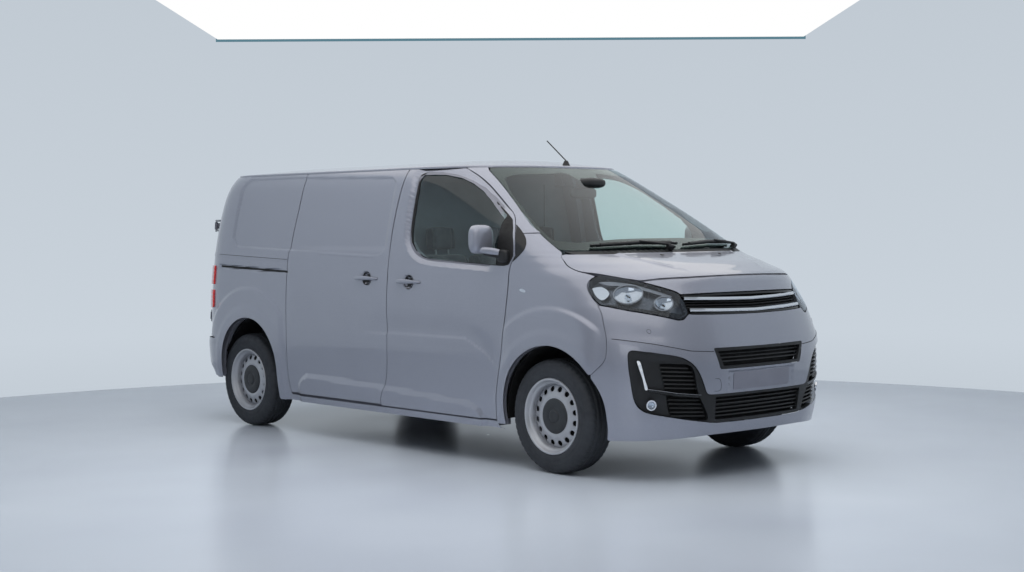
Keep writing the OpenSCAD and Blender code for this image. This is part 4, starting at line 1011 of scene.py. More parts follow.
left_front = along(DOOR_REAR, 281, ROOF_LOW, -1)
right_front = along(SLIDER_REAR, 281, ROOF_LOW, 0)
flap = fillet(side([(-98, 876), (-98, 1064), (-286, 1064), (-286, 876), (-98, 876)], smooth=False)[:-1], 16)
panels("side_skin", [frame_loop(left_front), shrink(flap, -3.5)], PAINT, "body_shell", ["side_frame_left"],
       right=False, field=plain_side, step=21)
panels("side_skin", [frame_loop(right_front)], PAINT, "body_shell", ["side_frame_right"], left=False,
       field=side_field, step=17)
panels("fuel_flap_skin", [flap], PAINT, ["fuel_flap", ""], ["fuel_flap"], right=False, field=plain_side,
       gap=1.5)
slider = loop_of(side(along(SLIDER_REAR, DOOR_LOW + 8, ROOF_LOW)),
                 side([(-1076, ROOF_LOW), (-500, ROOF_LOW), (96, ROOF_LOW)]),
                 side(along(DOOR_REAR, ROOF_LOW, DOOR_LOW + 8)),
                 side([(-20, DOOR_LOW + 8), (-500, DOOR_LOW + 8), (-1090, DOOR_LOW + 8)]))
panels("sliding_door_skin", [slider], PAINT, ["", "body_shell"], ["sliding_door"], left=False,
       field=side_field, step=17)

# Rear doors and bumper
rear_loop = loop_of(tail([(1.5, 657), (1.5, 1000), (1.5, 1400), (1.5, ROOF_LOW)], smooth=False),
                    tail([(1.5, ROOF_LOW), (300, ROOF_LOW), (600, ROOF_LOW)]),
                    tail([(y, z) for z, y in REAR_EDGE][::-1]), tail([(787, 657), (400, 657), (1.5, 657)]))


def rear_field(x, y, z):
    """Pressed upper and lower panels of the rear doors."""
    up = rounded_box(y, z, 70.0, 640.0, 1330.0, 1780.0, 60.0)
    low = rounded_box(y, z, 70.0, 700.0, 900.0, 1230.0, 50.0)
    plate = rounded_box(y, z, -275.0, 275.0, 735.0, 860.0, 14.0)
    f = -6.0 * (1 - smooth(-14, 4, up)) - 6.0 * (1 - smooth(-14, 4, low)) - 7.0 * (1 - smooth(-10, 3, plate))
    return f * (1 - smooth(-2200, -2150, x))


RD = ("rear_door_left", "rear_door_right")
panels("rear_door_skin", [rear_loop], PAINT, RD, ["rear_door_{side}"], field=rear_field)
bumper_half = np.vstack([tail([(0.5, 348), (500, 348)]),
                         free([(-2400, 780, 348), (-2200, 900, 348), (-2060, 930, 348)]),
                         free([(-2060, 950, 360), (-2060, 950, 500), (-2060, 950, 636)]),
                         tail([(940, 640), (860, 640), (500, 640), (0.5, 640)]),
                         tail([(0.5, 620), (0.5, 560), (0.5, 500), (0.5, 440), (0.5, 370)], smooth=False)])
panels("rear_bumper_skin", [bumper_half], PAINT, "body_shell", ["rear_bumper"], r=0, gap=0.0, thick=3.0)
for lo, hi, key in ((872, 1008, "lower"), (1052, 1193, "upper")):
    lamp = tail([(lo_y, z) for lo_y, z in ((800, lo), (803, (lo + hi) / 2), (795, hi))])
    lamp = np.vstack([lamp, side([(-2120, hi), (-2085, hi)]), side([(-2085, hi), (-2085, lo)]),
                      side([(-2085, lo), (-2120, lo)])])
    stands_for = ["tail_lights"] if key == "lower" else [""]
    panels("tail_lamp_" + key, [lamp], RED, "body_shell", stands_for, gap=0, r=14, offset=11.0, thick=12.0,
           step=18, edge=8, field=lambda x, y, z: 1.2 * np.sin(z / 5.0))

# Bonnet, windscreen, pillars, roof
bonnet_half = np.vstack([
    nose([(0, 1187), (176, 1186), (400, 1181), (592, 1174), (655, 1167), (690, 1163)]),
    free([(2124, 700, 1164), (2040, 765, 1179), (1966, 815, 1193), (1907, 849, 1203), (1850, 860, 1209),
          (1791, 871, 1217), (1712, 872, 1243), (1663, 861, 1273), (1630, 850, 1292), (1612, 838, 1308)]),
    nose([(822, 1313), (600, 1313), (300, 1313), (0, 1313)])])
bonnet_ob = shell("bonnet_skin", [shrink(resample(fillet(mirror_loop(bonnet_half), 8), 6), 3.0)], PAINT,
                  field=bonnet_field, step=26)
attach(bonnet_ob, "bonnet")
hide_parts("bonnet")
screen_half = np.vstack([nose([(0, 1335), (400, 1335), (780, 1335)]),
                         free([(1600, 804, 1338), (1560, 822, 1350), (1404, 812, 1440), (1340, 806, 1474),
                               (1119, 743, 1616), (1000, 700, 1690), (844, 650, 1790), (736, 622, 1843),
                               (690, 598, 1866)]),
                         nose([(560, 1868), (300, 1869), (0, 1869)])])
screen_loop = fillet(mirror_loop(screen_half), 10)
pane = shrink(resample(screen_loop, 8), 3)
screen = shell("windscreen_glass", [pane], GLASS, step=50, thick=4.0, offset=-1.0)
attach(screen, "body_shell")
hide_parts("windscreen")
clear_half = np.vstack([nose([(0, 1408), (400, 1404), (690, 1385)]),
                        free([(1500, 772, 1400), (1464, 780, 1418), (1371, 775, 1474), (1200, 738, 1575),
                              (1044, 700, 1667), (900, 645, 1750), (815, 605, 1800)]),
                        nose([(520, 1822), (300, 1828), (130, 1830), (100, 1790), (60, 1776), (0, 1772)])])
clear_loop = fillet(mirror_loop(clear_half), 22)
band_loops = [shrink(resample(screen_loop, 8), 4), clear_loop]
band = shell("windscreen_band", band_loops, GLOSS, step=60, thick=1.0, offset=-5.4)
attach(band, "body_shell")

pillar = loop_of(free([(1404, 814, 1444), (1340, 807, 1476), (1119, 746, 1617), (1000, 702, 1691),
                       (844, 652, 1791), (736, 626, 1843), (695, 602, ROOF_LOW)]),
                 side([(640, ROOF_LOW), (583, ROOF_LOW)]), side(along(DOOR_FRONT, ROOF_LOW, 1442, 1)),
                 side([(1262, 1441), (1320, 1441)]))
panels("a_pillar_skin", [pillar], PAINT, "body_shell", ["windscreen_pillars"], gap=1.6, r=3, step=16)


def roof_skin():
    """Crowned roof on its rolled rim, with shallow lengthwise channels."""
    top = 1880.0
    n_front, n_rear = nose_x(top) - nose_depth(top), tail_x(top) + tail_depth(top)
    total = NOSE_RUN + n_front - n_rear + TAIL_RUN
    us = np.linspace(0, total, 150)
    us = np.concatenate([us, np.linspace(total - 40, total, 3)[1:-1]])
    us.sort()
    half = skin(us, top)
    rim = np.vstack([half, (half * [1, -1, 1])[::-1][1:-1]])[:, :2]
    half_plan = half[:, :2]

    def edge(x):
        return np.interp(x, half_plan[::-1, 0], half_plan[::-1, 1])

    def crown(x):
        f = np.clip((x - 248.5) / (860.5 - 248.5), 0, 1)
        b = np.clip((-1496.5 - x) / (-1496.5 + 2279.5), 0, 1)
        return 60 * (1 - f**2) * (1 - b**2)

    def height(x, y):
        e = np.maximum(edge(x), 1)
        rib = sum(np.exp(-((np.abs(y) - c) / 16.0)**2) for c in (200, 430))
        fade = smooth(-2150, -2000, x) * (1 - smooth(350, 520, x))
        return top + crown(x) * (1 - np.clip(np.abs(y) / e, 0, 1)**2) - 3.5 * rib * fade

    loop = resample(rim, 18.0)
    co, tri = triangulate([loop], 30.0)
    face_up(co, tri)
    x, y = co[:, 0], co[:, 1]
    z = height(x, y)
    e = 3.0
    nx = -(height(x + e, y) - height(x - e, y)) / (2 * e)
    ny = -(height(x, y + e) - height(x, y - e)) / (2 * e)
    norm = np.stack([nx, ny, np.ones_like(nx)], 1)
    norm = np.clip(norm, -0.35, 1)
    norm /= np.linalg.norm(norm, axis=1, keepdims=True)
    verts = [np.stack([x, y, z], 1)]
    m = len(loop)
    out = np.roll(loop, -1, axis=0) - np.roll(loop, 1, axis=0)
    out /= np.linalg.norm(out, axis=1, keepdims=True)
    out = np.stack([out[:, 1], -out[:, 0], np.zeros(m)], 1) * np.sign(area(loop))
    faces = [tuple(f) for f in tri]
    ring = [int(np.argmin(np.sum((co - p)**2, axis=1))) for p in loop]
    norm[ring] = 0.75 * norm[ring] + 0.65 * out
    norm /= np.linalg.norm(norm, axis=1, keepdims=True)
    prev = ring
    norms = [norm]
    at = len(co)
    for drop, push, tilt in ((4.0, 2.2, 0.75), (9.0, 2.6, 1.0), (13.5, 1.0, 1.0), (13.5, -14.0, 1.0)):
        p = np.column_stack([loop, np.full(m, top - drop)]) + out * push
        verts.append(p)
        k = out * tilt + np.array([0, 0, 1 - tilt if push > 0 else -0.3])
        norms.append(k / np.linalg.norm(k, axis=1, keepdims=True))
        cur = list(range(at, at + m))
        sgn = 1 if area(loop) > 0 else -1
        for i in range(m):
            j = (i + 1) % m
            q = (prev[i], cur[i], cur[j], prev[j])
            faces.append(q if sgn > 0 else q[::-1])
        prev = cur
        at += m
    ob = build("roof_skin", np.vstack(verts), faces, np.vstack(norms), PAINT)
    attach(ob, "body_shell")
    return ob


# ---------------------------------------------------------------- wheels and tyres
def lathe(name, profile, mat, centre, side_sign=1.0, segments=96, sharp=40):
    """Solid of revolution about the Y axis; profile is a closed list of radius and depth in millimetres."""
    p = np.array(profile, float)
    a = np.linspace(0, 2 * np.pi, segments, endpoint=False)
    verts = np.stack([np.outer(p[:, 0], np.cos(a)), np.outer(p[:, 1], np.ones_like(a)) * side_sign,
                      np.outer(p[:, 0], np.sin(a))], -1).reshape(-1, 3) + np.array(centre)
    faces = ring_faces(len(p), segments, closed=True)
    if area(p) * side_sign > 0:
        faces = turned(faces)
    ob = build(name, verts, faces, None, mat)
    keep_edges(ob, sharp)
    return ob


def smooth_profile(points, step=6.0):
    return [tuple(q) for q in spline(points, step)]


def tyre(name, body, centre, sgn, node_name):
    w = 106.0
    # Radius and depth, from one bead over the tread to the other
    outer = [(217, -90), (231, -99), (245, -104.5), (272, -w), (300, -105), (322, -98), (336, -86),
             (342, -70), (344, -40), (344.6, 0), (344, 40), (342, 70), (336, 86), (322, 98), (300, 105),
             (272, w), (245, 104.5), (231, 99), (217, 90)]
    prof = smooth_profile(outer, 4.0)
    seg = 216
    a = np.linspace(0, 2 * np.pi, seg, endpoint=False)
    rr = np.array([q[0] for q in prof])[:, None] * np.ones(seg)
    yy = np.array([q[1] for q in prof])[:, None] * np.ones(seg)
    # Tread: four grooves round it with cross cuts at the shoulders, and two rings on the sidewall
    groove_at, ring_r, groove_deep, cut_deep = (-52, -18, 18, 52), (262, 288), 7.0, 4.0
    groove = np.zeros_like(rr)
    for c in groove_at:
        groove += groove_deep * (1 - smooth(3.0, 5.0, np.abs(yy - c)))
    block = (np.arange(seg) % 4 < 1)[None, :] * smooth(56, 62, np.abs(yy)) * (rr > 318)
    rr = rr - np.where(rr > 330, groove, 0) - cut_deep * block
    for c in ring_r:
        yy = yy + np.sign(yy) * 1.2 * (np.abs(rr - c) < 3) * (np.abs(yy) > 95)
    verts = np.stack([rr * np.cos(a), yy * sgn, rr * np.sin(a)], -1).reshape(-1, 3) + np.array(centre)
    faces = ring_faces(len(prof), seg, closed=True)
    if sgn > 0:
        faces = turned(faces)
    ob = build(name, verts, faces, None, TYRE)
    keep_edges(ob, 38)
    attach(ob, body)
    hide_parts(node_name)


HOLES, HOLE_R = 16, 17


def wheel(name, body, centre, sgn, node_name):
    """Pressed steel wheel: rim, disc with round holes, and a black cap."""
    rim = smooth_profile([(231, 98), (229, 101), (224, 101.5), (219, 98), (217, 92), (216, 84), (214, 80),
                          (205, 77), (200, 70), (198, 55), (197, 30), (196, -40), (199, -55), (214, -72),
                          (217, -84), (220, -96), (231, -99)], 5.0)
    rim += [(231, -102), (214, -101), (210, -86), (206, -74), (193, -58), (190, -40), (191, 30), (192, 60),
            (194, 74), (203, 83), (209, 87), (212, 97), (219, 104), (228, 104)]
    ob = lathe(name + "_rim", rim, WHEEL, centre, sgn)
    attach(ob, body)
    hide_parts(node_name)
    # Disc
    hole_angles = [2 * np.pi * (k + 0.5) / HOLES for k in range(HOLES)]
    ang = np.linspace(0, 2 * np.pi, 96, endpoint=False)
    loops = [np.stack([r * np.cos(ang), r * np.sin(ang)], 1) for r in (196, 96)]
    h = np.linspace(0, 2 * np.pi, 22, endpoint=False)
    for c in hole_angles:
        hole = [164 * np.cos(c) + HOLE_R * np.cos(h), 164 * np.sin(c) + HOLE_R * np.sin(h)]
        loops.append(np.stack(hole, 1))
    prof = pchip(np.array([90, 104, 118, 132, 146, 165, 184, 192, 197.0]),
                 np.array([66, 67, 70, 68, 64, 59, 50, 42, 40.0]))

    def depth(p):
        r = np.hypot(p[:, 0], p[:, 1])
        d = prof(r)
        for c in hole_angles:
            q = np.hypot(p[:, 0] - 165 * np.cos(c), p[:, 1] - 165 * np.sin(c))
            d = d - 2.0 * (1 - smooth(HOLE_R, HOLE_R + 6, q))
        return d

    co, tri = triangulate(loops, 7.0)
    face_up(co, tri)
    z = depth(co)
    k = len(co)
    top = np.stack([co[:, 0], z * sgn, co[:, 1]], 1)
    low = np.stack([co[:, 0], (z - 4.5) * sgn, co[:, 1]], 1)
    faces = [tuple(f) for f in tri] + [tuple(f[::-1] + k) for f in tri]
    faces += [(j, i, i + k, j + k) for i, j in rim_of(tri)]
    if sgn > 0:
        faces = turned(faces)
    ob = build(name + "_disc", np.vstack([top, low]) + np.array(centre), faces, None, WHEEL)
    keep_edges(ob, 45)
    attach(ob, body)
    # Brake drum behind the holes in near-black: partly its own dark metal, partly painted shade so that the
    # holes read dark
    drum = [(60, 34), (150, 34), (188, 26), (188, -20), (60, -20)]
    ob = lathe(name + "_drum", drum, RUBBER, centre, sgn, 48)
    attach(ob, body)
    cap = smooth_profile([(0.5, 82), (30, 82), (36, 80), (40, 76), (60, 78), (84, 77), (96, 75), (103, 72),
                          (107, 68)], 4.0)
    cap += [(107, 63), (90, 61), (0.5, 61)]
    ob = lathe(name + "_cap", cap, CAP, centre, sgn, 72, 30)
    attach(ob, body)


TYRE = grained("tyre_rubber", srgb(48, 51, 56), 0.72, 500, 0.35, 0.15)
CAP = grained("cap_plastic", srgb(38, 41, 45), 0.45, 900, 0.3, 0.2)
for x, ax in ((AXLE_F, "front"), (AXLE_R, "rear")):
    for sgn, hand in ((1, "left"), (-1, "right")):
        body = f"wheel_{ax}_{hand}"
        centre = (x, sgn * WHEEL_Y, AXLE_Z)
        tyre(f"tyre_skin_{ax}_{hand}", body, centre, sgn, f"tyre_{ax}_{hand}")
        wheel(f"steel_wheel_{ax}_{hand}", body, centre, sgn, f"wheel_{ax}_{hand}")
roof_ob = roof_skin()
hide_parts("roof")


# ---------------------------------------------------------------- front end
def across(name, half, mat, body="body_shell", nodes=(), holes=(), gap=GAP, r=5.0, **kw):
    """Panel that crosses the middle of the nose, from the curve of its left half."""
    loop = shrink(resample(fillet(mirror_loop(half), r), 5.0), gap)
    ob = shell(name, [loop, *holes], mat, **kw)
    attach(ob, body)
    for cad_name in nodes:
        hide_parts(cad_name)
    return ob


def two(name, loops, mat, nodes=("",), body="body_shell", gap=0, r=0, **kw):
    """The same small panel on the left and on the right."""
    return panels(name, loops, mat, body, nodes, gap=gap, r=r, **kw)


intake = fillet(mirror_loop(nose([(0, 770), (415, 772), (372, 648), (0, 648)], smooth=False)), 12)
duct_half = np.vstack([
    nose([(0, 503), (300, 503), (440, 503)]),
    free([(2429, 468, 512), (2426, 500, 590), (2416, 543, 666), (2389, 612, 719), (2300, 745, 752),
          (2201, 855, 772)]),
    free([(2185, 870, 758), (2200, 856, 600), (2215, 836, 463), (2244, 805, 420), (2336, 681, 384),
          (2422, 414, 337)]),
    nose([(390, 333), (200, 331), (0, 331)])])
duct = fillet(mirror_loop(duct_half), 26)
lamp_low = free([(1984, 899, 1023), (2060, 862, 1010), (2154, 803, 990), (2250, 708, 966), (2330, 598, 936)])
lamp_in = free([(2338, 565, 940), (2346, 525, 972)])
bumper_half = np.vstack([
    nose([(0, 262), (415, 261), (650, 252), (782, 246)]),
    free([(2235, 786, 246), (2150, 835, 243), (2050, 892, 241)]),
    side([(2048, 250), (2058, 300), (2060.4, 345), (2049, 456), (2019, 536), (1975, 605)]),
    free([(1975, 948, 621), (2011, 944, 652), (2065, 930, 712), (2071, 923, 789), (2062, 920, 845),
          (2041, 913, 902), (2015, 907, 970), (1981, 900, 1019)]),
    lamp_low, lamp_in, nose([(505, 968), (300, 963), (0, 960)])])
across("front_bumper_skin", bumper_half, PAINT, nodes=["front_bumper"],
       holes=[shrink(intake, -1), shrink(duct, -1)], field=nose_field, step=22, edge=10)
panel_half = np.vstack([nose([(0, 1088), (300, 1087), (525, 1082)]),
                        free([(2292, 530, 1088), (2276, 542, 1098), (2200, 622, 1130), (2130, 692, 1156)]),
                        nose([(690, 1158), (592, 1168), (400, 1175), (176, 1180), (0, 1181)])])
across("grille_header", panel_half, PAINT, step=20, edge=8)

# Black surrounds, slats and dark backs
louvre = fillet(free([(2321, 741, 692), (2370, 660, 690), (2408, 569, 672), (2415, 521, 520),
                      (2418, 440, 358), (2380, 560, 364), (2345, 663, 386), (2337, 703, 519),
                      (2321, 741, 692)])[:-1], 8)
lower = fillet(mirror_loop(nose([(0, 488), (395, 486), (385, 352), (0, 350)], smooth=False)), 8)
mouth = fillet(mirror_loop(nose([(0, 755), (385, 753), (345, 665), (0, 665)], smooth=False)), 8)
surround = shell("intake_surround", [shrink(resample(intake, 6), 0.5), mouth], BLACK, offset=-2.0, thick=26.0,
                 step=20, edge=6)
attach(surround, "body_shell")
louvre_r = louvre * [-1, 1]


def duct_well(x, y, z):
    """Sinks the surround towards the louvres at its outer ends."""
    well = -26.0 * smooth(0, 60, (y - 470)) * (1 - smooth(820, 872, y))
    return well * smooth(380, 430, z + 0.25 * (y - 440)) * (1 - smooth(700, 760, z)) * smooth(560, 700, y)


ducts = shell("duct_surround", [shrink(resample(duct, 6), 0.5), louvre, louvre_r, lower], BLACK, offset=-3.0,
              thick=30.0, step=22, edge=7, field=duct_well)
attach(ducts, "body_shell")
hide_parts("grilles")
for label, loop, off in (("intake_back", intake, -48.0), ("duct_back", duct, -62.0)):
    ob = shell(label, [resample(loop, 10)], RUBBER, offset=off, thick=3.0, step=60, edge=16)
    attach(ob, "body_shell")


def strip(name, ys, zs, mat, height, proud, depth, body="body_shell", mirrored=False, tilt=0.0):
    """Bar that follows the nose between two distances from the middle, at heights given along it."""
    n = max(6, int(abs(ys[-1] - ys[0]) / 18))
    y = np.interp(np.linspace(0, 1, n), np.linspace(0, 1, len(ys)), ys)
    zc = np.interp(np.linspace(0, 1, n), np.linspace(0, 1, len(zs)), zs)
    a = np.arcsin(np.clip(np.abs(y) / side_w(zc), 0, 1)**(nose_power(zc) / 2))
    s = np.sign(y) * np.interp(a, ANGLES, NOSE_ARC)
    c = height * 0.22
    prof = [(-height / 2, -depth), (-height / 2, proud - c), (-height / 2 + c, proud),
            (height / 2 - c, proud), (height / 2, proud - c), (height / 2, -depth)]
    verts, norm = [], base_normal(s, v_of(zc))
    p0 = base(s, v_of(zc))
    up = np.cross(norm, np.gradient(p0, axis=0))
    up /= np.linalg.norm(up, axis=1, keepdims=True)
    up *= np.sign(up[:, 2:3])
    for h, o in prof:
        verts.append(p0 + up * h + norm * (o + tilt * h))
    v = np.stack(verts, 1)
    k = len(prof)
    faces = []
    order = y[-1] > y[0]
    for i in range(n - 1):
        for j in range(k):
            f = (i * k + j, (i + 1) * k + j, (i + 1) * k + (j + 1) % k, i * k + (j + 1) % k)
            faces.append(f if order else f[::-1])
    caps = [tuple(range(k))[::-1], tuple(range((n - 1) * k, n * k))]
    faces += [f if order else f[::-1] for f in caps]
    obs = []
    for m in ((1, -1) if mirrored else (1,)):
        vv = v.reshape(-1, 3) * [1, m, 1]
        ff = [f[::-1] for f in faces] if m < 0 else faces
        ob = build(name + ("_left", "_right")[m < 0] if mirrored else name, vv, ff, None, mat)
        keep_edges(ob, 35)
        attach(ob, body)
        obs.append(ob)
    return obs


for k, z in enumerate((738, 715, 692)):
    strip(f"intake_slat_{k}", [-380 + 8 * k, 380 - 8 * k], [z, z], BLACK, 9, -16, 34, tilt=-0.35)
for k, z in enumerate((465, 441, 417, 393, 370)):
    strip(f"lower_slat_{k}", [-394, 394], [z, z], BLACK, 8, -16, 42, tilt=-0.35)
strip("lower_bar", [-394, 394], [430, 430], BLACK, 5, -30, 50)
for k, z in enumerate((667, 643, 619, 595, 571, 547, 478, 454, 430, 406, 383)):
    yo = np.interp(z, [383, 478, 519, 692], [668, 690, 708, 745])
    yi = np.interp(z, [358, 520, 672], [440, 520, 566])
    if z > 655:
        yi += 20
    strip(f"duct_slat_{k}", [yi, yo], [z - 6, z + 4], BLACK, 8, -14, 40, mirrored=True, tilt=-0.35)
strip("duct_bar", [486, 640, 790], [492, 508, 538], GLOSS, 20, -4, 30, mirrored=True)
strip("duct_bar_trim", [500, 640, 792], [504, 519, 547], STEEL, 3, -2, 5, mirrored=True)
strip("bumper_seam", [418, 566, 779, 905], [753, 761, 809, 833], RUBBER, 3.5, 4.6, 3, mirrored=True)
# Radiator grille: black back and lips, two bright bars and the slats between them
grille_half = np.vstack([nose([(0, 1086), (300, 1085), (520, 1081)]),
                         free([(2313, 524, 1050), (2346, 524, 975)]),
                         nose([(508, 966), (300, 962), (0, 959)])])
across("grille_back", grille_half, RUBBER, gap=-4.0, offset=-46.0, thick=3.0, step=50)
for label, top, low, nodes in (
        ("top", [(0, 1085), (300, 1084), (522, 1080)], [(522, 1070), (300, 1074), (0, 1075)],
         ["grille_bars"]),
        ("low", [(0, 974), (300, 976), (508, 981)], [(508, 971), (300, 965), (0, 962)], [])):
    across("grille_lip_" + label, np.vstack([nose(top), nose(low)]), GLOSS, gap=0, r=0, offset=-7.0,
           thick=38.0, step=20, nodes=nodes)
strip("grille_bar_upper", [-514, -300, 0, 300, 514], [1062, 1056, 1051, 1056, 1062], CHROME, 21, 2, 14)
strip("grille_bar_lower", [-508, -300, 0, 300, 508], [996, 990, 984, 990, 996], CHROME, 21, 2, 14)
for k, z in enumerate((1040, 1024, 1008)):
    strip(f"grille_slat_{k}", [-510, 0, 510], [z + 6, z - 4, z + 6], BLACK, 5, -18, 38, tilt=-0.3)

# Headlights
lens = np.vstack([free([(1988, 895, 1028), (2060, 858, 1014), (2154, 799, 994), (2250, 704, 970),
                        (2328, 598, 941)]),
                  free([(2336, 566, 945), (2343, 526, 974)]), free([(2313, 521, 1040), (2276, 537, 1090)]),
                  free([(2200, 618, 1124), (2126, 693, 1153), (2040, 757, 1176), (1966, 806, 1190),
                        (1920, 835, 1192)]),
                  free([(1905, 848, 1184), (1887, 872, 1160), (1887, 889, 1130), (1905, 896, 1099),
                        (1943, 898, 1062), (1984, 896, 1030)])])
lens = fillet(lens, 12)
two("headlight_lens", [lens], LENS, ["headlights"], gap=0.6, thick=3.0, step=24, edge=8, offset=0.4)
two("headlight_housing", [shrink(resample(lens, 8), 3.0)], HOUSING, gap=0.5, thick=3.0, step=22, edge=8,
    offset=-62.0)


def wall(name, loop, o0, o1, mat, body="body_shell", flip=False):
    """Band that runs round a loop between two depths under the body surface."""
    loop = resample(loop, 7.0)
    s, v = loop[:, 0], loop[:, 1]
    a, b = surface(s, v, no_field, o0), surface(s, v, no_field, o1)
    verts = np.vstack([a, b]) * ([1, -1, 1] if flip else [1, 1, 1])
    ob = build(name, verts, ring_faces(2, len(loop)), None, mat)
    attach(ob, body)
    return ob


def local_disc(centre, ra, rb, turn=0.0, n=48):
    """Closed oval on the surface round a point in space, in panel coordinates."""
    c = np.array([u_of(*centre), v_of(centre[2])])
    a = np.linspace(0, 2 * np.pi, n, endpoint=False)
    p = np.stack([ra * np.cos(a), rb * np.sin(a)], 1)
    t = math.radians(turn)
    return c + p @ np.array([[math.cos(t), math.sin(t)], [-math.sin(t), math.cos(t)]])


def dish(centre, r, deep):
    c = base(np.array(float(u_of(*centre))), np.array(float(v_of(centre[2]))))

    def f(x, y, z):
        d = np.sqrt((x - c[0])**2 + (y - c[1])**2 + (z - c[2])**2) / r
        return -deep * (1 - np.clip(d, 0, 1)**2)
    return f


for hand, flipped in (("left", False), ("right", True)):
    wall("headlight_wall_" + hand, shrink(resample(lens, 7), 3.0), -3.0, -63.0, HOUSING, flip=flipped)
for label, c, ra, rb, deep in (("outer", (2093, 776, 1094), 88, 50, 34.0),
                               ("inner", (2250, 634, 1040), 60, 38, 26.0)):
    two("headlight_bowl_" + label, [local_disc(c, ra, rb, -20)], CHROME, thick=2.0, step=9, edge=6,
        offset=-16.0, field=dish(c, ra, deep))
    two("headlight_ring_" + label, [local_disc(c, ra + 5, rb + 5, -20), local_disc(c, ra - 1, rb - 1, -20)],
        STEEL, thick=6.0, step=30, edge=6, offset=-14.0)
    two("headlight_bulb_" + label, [local_disc(c, 15, 15)], LENS, thick=6.0, step=6, edge=4,
        offset=-14.0 - deep * 0.55, field=lambda x, y, z, g=dish(c, 15, 14.0): -g(x, y, z))


def ribbed(x, y, z):
    return 2.2 * np.sin((y + 0.4 * z) / 5.2)


strip_loop = free([(1996, 880, 1040), (2060, 840, 1036), (2200, 715, 1008), (2332, 545, 972),
                   (2322, 596, 950), (2250, 693, 978), (2154, 787, 1001), (2040, 862, 1024),
                   (1996, 880, 1040)])[:-1]
two("headlight_strip", [fillet(shrink(resample(strip_loop, 6), 3), 5)], DARKTRIM, thick=4.0, step=9, edge=5,
    offset=-24.0, field=ribbed)
brow_loop = free([(1925, 850, 1165), (1990, 800, 1172), (2080, 735, 1158), (2180, 655, 1122),
                  (2262, 560, 1082), (2240, 600, 1084), (2150, 700, 1120), (2060, 775, 1146),
                  (1985, 832, 1148), (1925, 850, 1165)])[:-1]
two("headlight_brow", [fillet(brow_loop, 5)], STEEL, thick=4.0, step=14, edge=6, offset=-26.0)
corner_loop = free([(1903, 882, 1130), (1960, 850, 1138), (2010, 835, 1100), (1985, 868, 1062),
                    (1940, 890, 1085), (1903, 882, 1130)])[:-1]
two("headlight_corner", [fillet(corner_loop, 6)], CHROME, thick=4.0, step=14, edge=6, offset=-30.0)


# ---------------------------------------------------------------- small fittings
def core(cad_name, body, mat, depth, thin=3.0, drop_outside=False, low=200.0):
    """The CAD part behind a smooth skin, with its outer face drawn in under the skin."""
    src = frame["nodes"][cad_name].data
    p = vectors(src.vertices, "co") * 1000
    z = np.clip(p[:, 2], low, 1879)
    u = u_of(p[:, 0], np.abs(p[:, 1]), z)
    b = skin(u, z)
    nn = base_normal(u, v_of(z))
    q = p * [1, 1, 1]
    q[:, 1] = np.abs(q[:, 1])
    d = np.sum((q - b) * nn, axis=1)
    push = (d > -depth) & (d < thin)
    q[push] -= nn[push] * (d[push] + depth)[:, None]
    q[:, 1] *= np.where(p[:, 1] < 0, -1, 1)
    faces = [tuple(f.vertices) for f in src.polygons]
    if drop_outside:
        faces = [f for f in faces if not all(d[i] > 5 for i in f)]
    ob = build(cad_name + "_inner", q, faces, None, mat)
    for f in ob.data.polygons:
        f.use_smooth = False
    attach(ob, body)
    return ob


for hand in ("left", "right"):
    core("front_door_" + hand, "front_door_" + hand, INNER, 19.0, drop_outside=True)
    core("rear_door_" + hand, "rear_door_" + hand, INNER, 16.0, 32.0, low=700.0)
    core("side_frame_" + hand, "body_shell", INNER, 16.0)
core("sliding_door", "body_shell", INNER, 19.0, drop_outside=True)
core("windscreen_pillars", "body_shell", INNER, 5.0)
core("wings", "body_shell", INNER, 6.0)
core("bonnet", "bonnet", INNER, 5.0)
core("fuel_flap", "fuel_flap", INNER, 10.5, 12.0)


def blob(name, centre, half, mat, body, power=(0.5, 0.5), shape=None, rows=28, cols=44, flip=False):
    """Rounded box or egg whose points a shape function may move."""
    e1, e2 = power
    a = np.linspace(-np.pi / 2, np.pi / 2, rows)
    b = np.linspace(-np.pi, np.pi, cols, endpoint=False)
    A, B = np.meshgrid(a, b, indexing="ij")

    def pw(v, e):
        return np.sign(v) * np.abs(v)**e
    x, y, z = pw(np.cos(A), e1) * pw(np.cos(B), e2), pw(np.cos(A), e1) * pw(np.sin(B), e2), pw(np.sin(A), e1)
    p = np.stack([x, y, z], -1).reshape(-1, 3) * np.array(half)
    if shape:
        p = shape(p)
    p = p + np.array(centre)
    if flip:
        p = p * [1, -1, 1]
    faces = ring_faces(rows, cols)
    ob = build(name, p, turned(faces) if flip else faces, None, mat)
    bm = bmesh.new()
    bm.from_mesh(ob.data)
    bmesh.ops.remove_doubles(bm, verts=bm.verts, dist=1e-6)
    bm.to_mesh(ob.data)
    bm.free()
    keep_edges(ob, 50)
    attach(ob, body)
    return ob


